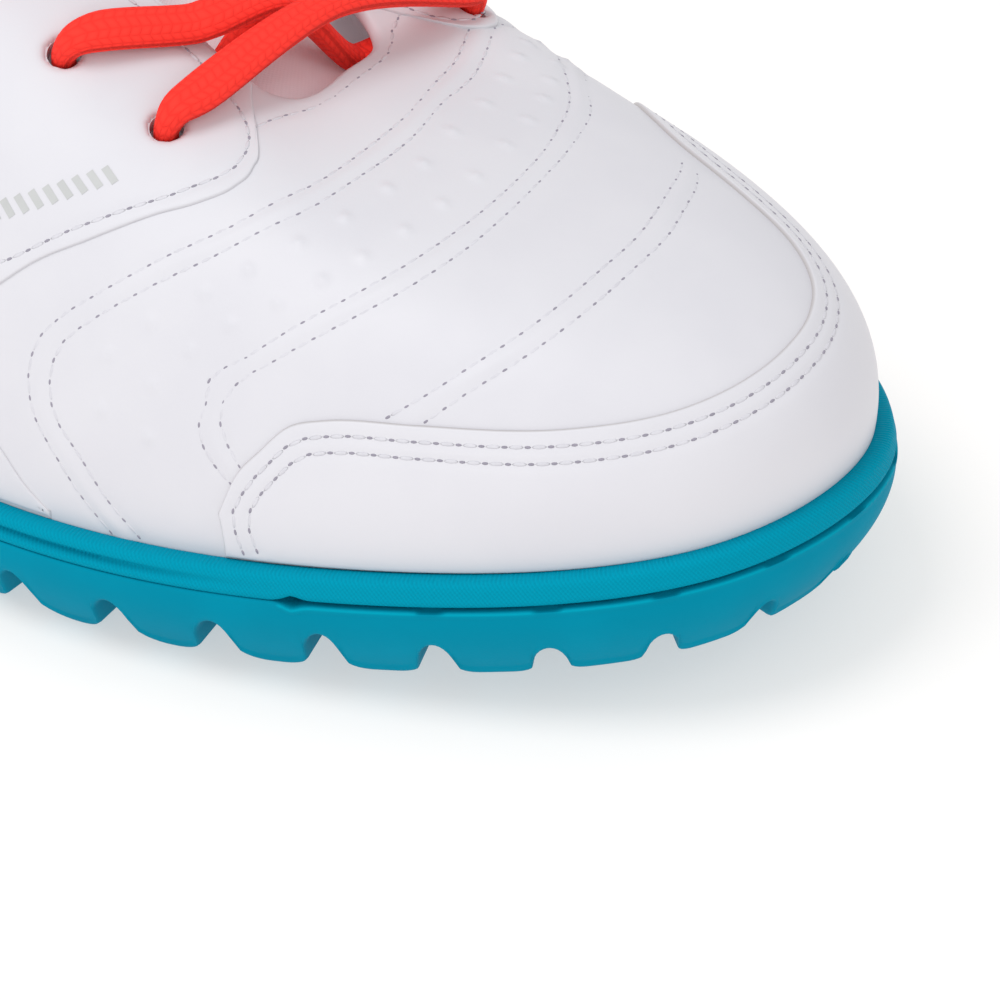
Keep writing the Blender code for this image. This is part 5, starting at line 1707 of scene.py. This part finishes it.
@dataclass
class Studio:
    """Plain pale floor, soft light and the photograph's camera."""

    azimuth: float = 39.0
    elevation: float = 34.8
    distance: float = 850.0 * MM
    lens: float = 257.0
    aim_right: float = -36.3 * MM
    aim_up: float = 23.0 * MM
    toe_across: float = 0.7 * MM
    floor_reach: float = 4.0
    floor_colour: tuple[float, float, float] = (0.52, 0.50, 0.485)
    floor_glow: float = 0.50
    surround: float = 0.72
    light_aim: tuple[float, float, float] = (0.06, 0.0, 0.03)

    def build_floor(self) -> None:
        """A wide pale floor."""
        mesh = bpy.data.meshes.new("floor")
        far = self.floor_reach
        corners = [(-far, -far, 0.0), (far, -far, 0.0), (far, far, 0.0), (-far, far, 0.0)]
        mesh.from_pydata(corners, [], [(0, 1, 2, 3)])
        floor = link_new("floor", mesh)
        paint = bpy.data.materials.new("pale_floor")
        paint.use_nodes = True
        shader = paint.node_tree.nodes["Principled BSDF"]
        NodeSheet(paint.node_tree).fill(shader, {
            "Base Color": (*self.floor_colour, 1.0), "Emission Color": (1.0, 1.0, 1.0, 1.0),
            "Emission Strength": self.floor_glow, "Roughness": 1.0, "Specular IOR Level": 0.0,
        })
        mesh.materials.append(paint)

    def build_light(self) -> None:
        """White surroundings, a wide key light above and a fill from the camera's side."""
        world = bpy.data.worlds.new("studio_white")
        world.use_nodes = True
        sky = world.node_tree.nodes["Background"]
        NodeSheet(world.node_tree).fill(sky, {"Color": (1.0, 1.0, 1.0, 1.0), "Strength": self.surround})
        bpy.context.scene.world = world
        for name, place, size, power in LIGHTS:
            lamp = bpy.data.lights.new(name, "AREA")
            lamp.shape = "DISK"
            lamp.size = size
            lamp.energy = power
            holder = link_new(name, lamp)
            holder.location = place
            aim = Vector(self.light_aim) - Vector(place)
            holder.rotation_euler = aim.to_track_quat("-Z", "Y").to_euler()

    def build_camera(self, last: Last) -> None:
        """A long lens over the lateral front."""
        a, e = math.radians(self.azimuth), math.radians(self.elevation)
        right = Vector((math.cos(a), math.sin(a), 0.0))
        up = Vector((-math.sin(a) * math.sin(e), math.cos(a) * math.sin(e), math.cos(e)))
        back = Vector((math.sin(a) * math.cos(e), -math.cos(a) * math.cos(e), math.sin(e)))
        anchor = Vector((0.5 * last.length, self.toe_across, 0.0))
        lens = bpy.data.cameras.new("photo_camera")
        lens.lens = self.lens
        lens.sensor_width = 36.0
        lens.clip_start, lens.clip_end = 0.05, 20.0
        camera = link_new("photo_camera", lens)
        camera.location = anchor + back * self.distance
        aim = anchor + right * self.aim_right + up * self.aim_up
        back = (camera.location - aim).normalized()
        right = (right - back * right.dot(back)).normalized()
        camera.rotation_mode = "QUATERNION"
        camera.rotation_quaternion = Matrix((right, back.cross(right), back)).transposed().to_quaternion()
        bpy.context.scene.camera = camera
        bpy.context.scene.view_settings.view_transform = "Standard"


def settle(piece: bpy.types.Object, slot: str, *nodes: str) -> None:
    """Rides a piece on the shoe, hides the CAD nodes it stands for and logs its triangle count."""
    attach(piece, "root")
    if nodes:
        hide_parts(*nodes)
    piece.data.calc_loop_triangles()
    LOG.info("%s: %d triangles", piece.name, len(piece.data.loop_triangles))


def main() -> None:
    """Builds every part of the shoe in order."""
    logging.basicConfig(level=logging.INFO, format="%(message)s")
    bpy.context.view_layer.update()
    effects = EffectGroups()
    for build in (effects.grain, effects.twill, effects.weave, effects.braid):
        build()
    last = Last()
    leather, guard_leather = LEATHER.make(), GUARD_LEATHER.make()
    sole = Sole(last)
    rubber = OUTSOLE_RUBBER.make()
    settle(sole.build_outsole(rubber), "outsole_rubber", "outsole")
    settle(sole.build_studs(rubber), "outsole_rubber")
    settle(sole.build_midsole(MIDSOLE_FOAM.make()), "midsole_foam", "midsole")
    settle(sole.build_insole(INSOLE_CLOTH.make()), "insole_fabric", "insole")
    upper = Upper(last)
    upper.plan()
    settle(upper.build_skin(leather), "white_leather", "upper")
    lining = upper.build_lining(LINING_CLOTH.make())
    settle(lining, "white_leather")
    rows = tuple((GUARD_BORDER, -row * MM) for row in GUARD_ROWS)
    guard = upper.build_overlay("toe_guard_leather", GUARD_EDGE, guard_leather, lower=0.004, fine=0.5, marks=rows)
    settle(guard, "white_leather", "toe_guard")
    for mirrored in (False, True):
        side = "medial" if mirrored else "lateral"
        quarter = upper.build_overlay(
            f"quarter_{side}_leather", QUARTER_EDGE, leather, upper=0.996, fine=1.3 if mirrored else 0.8,
            step=upper.quarter_step, marks=((QUARTER_ROW, 0.0),), mirrored=mirrored, holes=True, line=0.3,
        )
        settle(quarter, "white_leather", f"quarter_{side}")
        waist = upper.build_overlay(
            f"waist_{side}_leather", WAIST_EDGE, leather, lower=0.004, fine=1.0, step=upper.waist_step,
            mirrored=mirrored, line=0.3,
        )
        settle(waist, "white_leather")
    rows = ((COUNTER_EDGE, -2.0 * MM),)
    counter = upper.build_overlay("heel_counter_leather", COUNTER_EDGE, leather, lower=0.004, fine=1.2, marks=rows)
    settle(counter, "white_leather", "heel_counter")
    for piece in upper.build_stitches(THREAD.make(), NEEDLE_SHADE.make()):
        settle(piece, "white_leather")
    settle(upper.build_ticks(PRINT_GREY.make()), "white_leather")
    tongue = Tongue(last).build(TONGUE_CLOTH.make())
    settle(tongue, "tongue_fabric", "tongue")
    settle(Lace(last, upper).build(LACE_BRAID.make()), "lace_fabric", "lace")
    studio = Studio()
    studio.build_floor()
    studio.build_light()
    studio.build_camera(last)


if __name__ == "__main__":
    main()
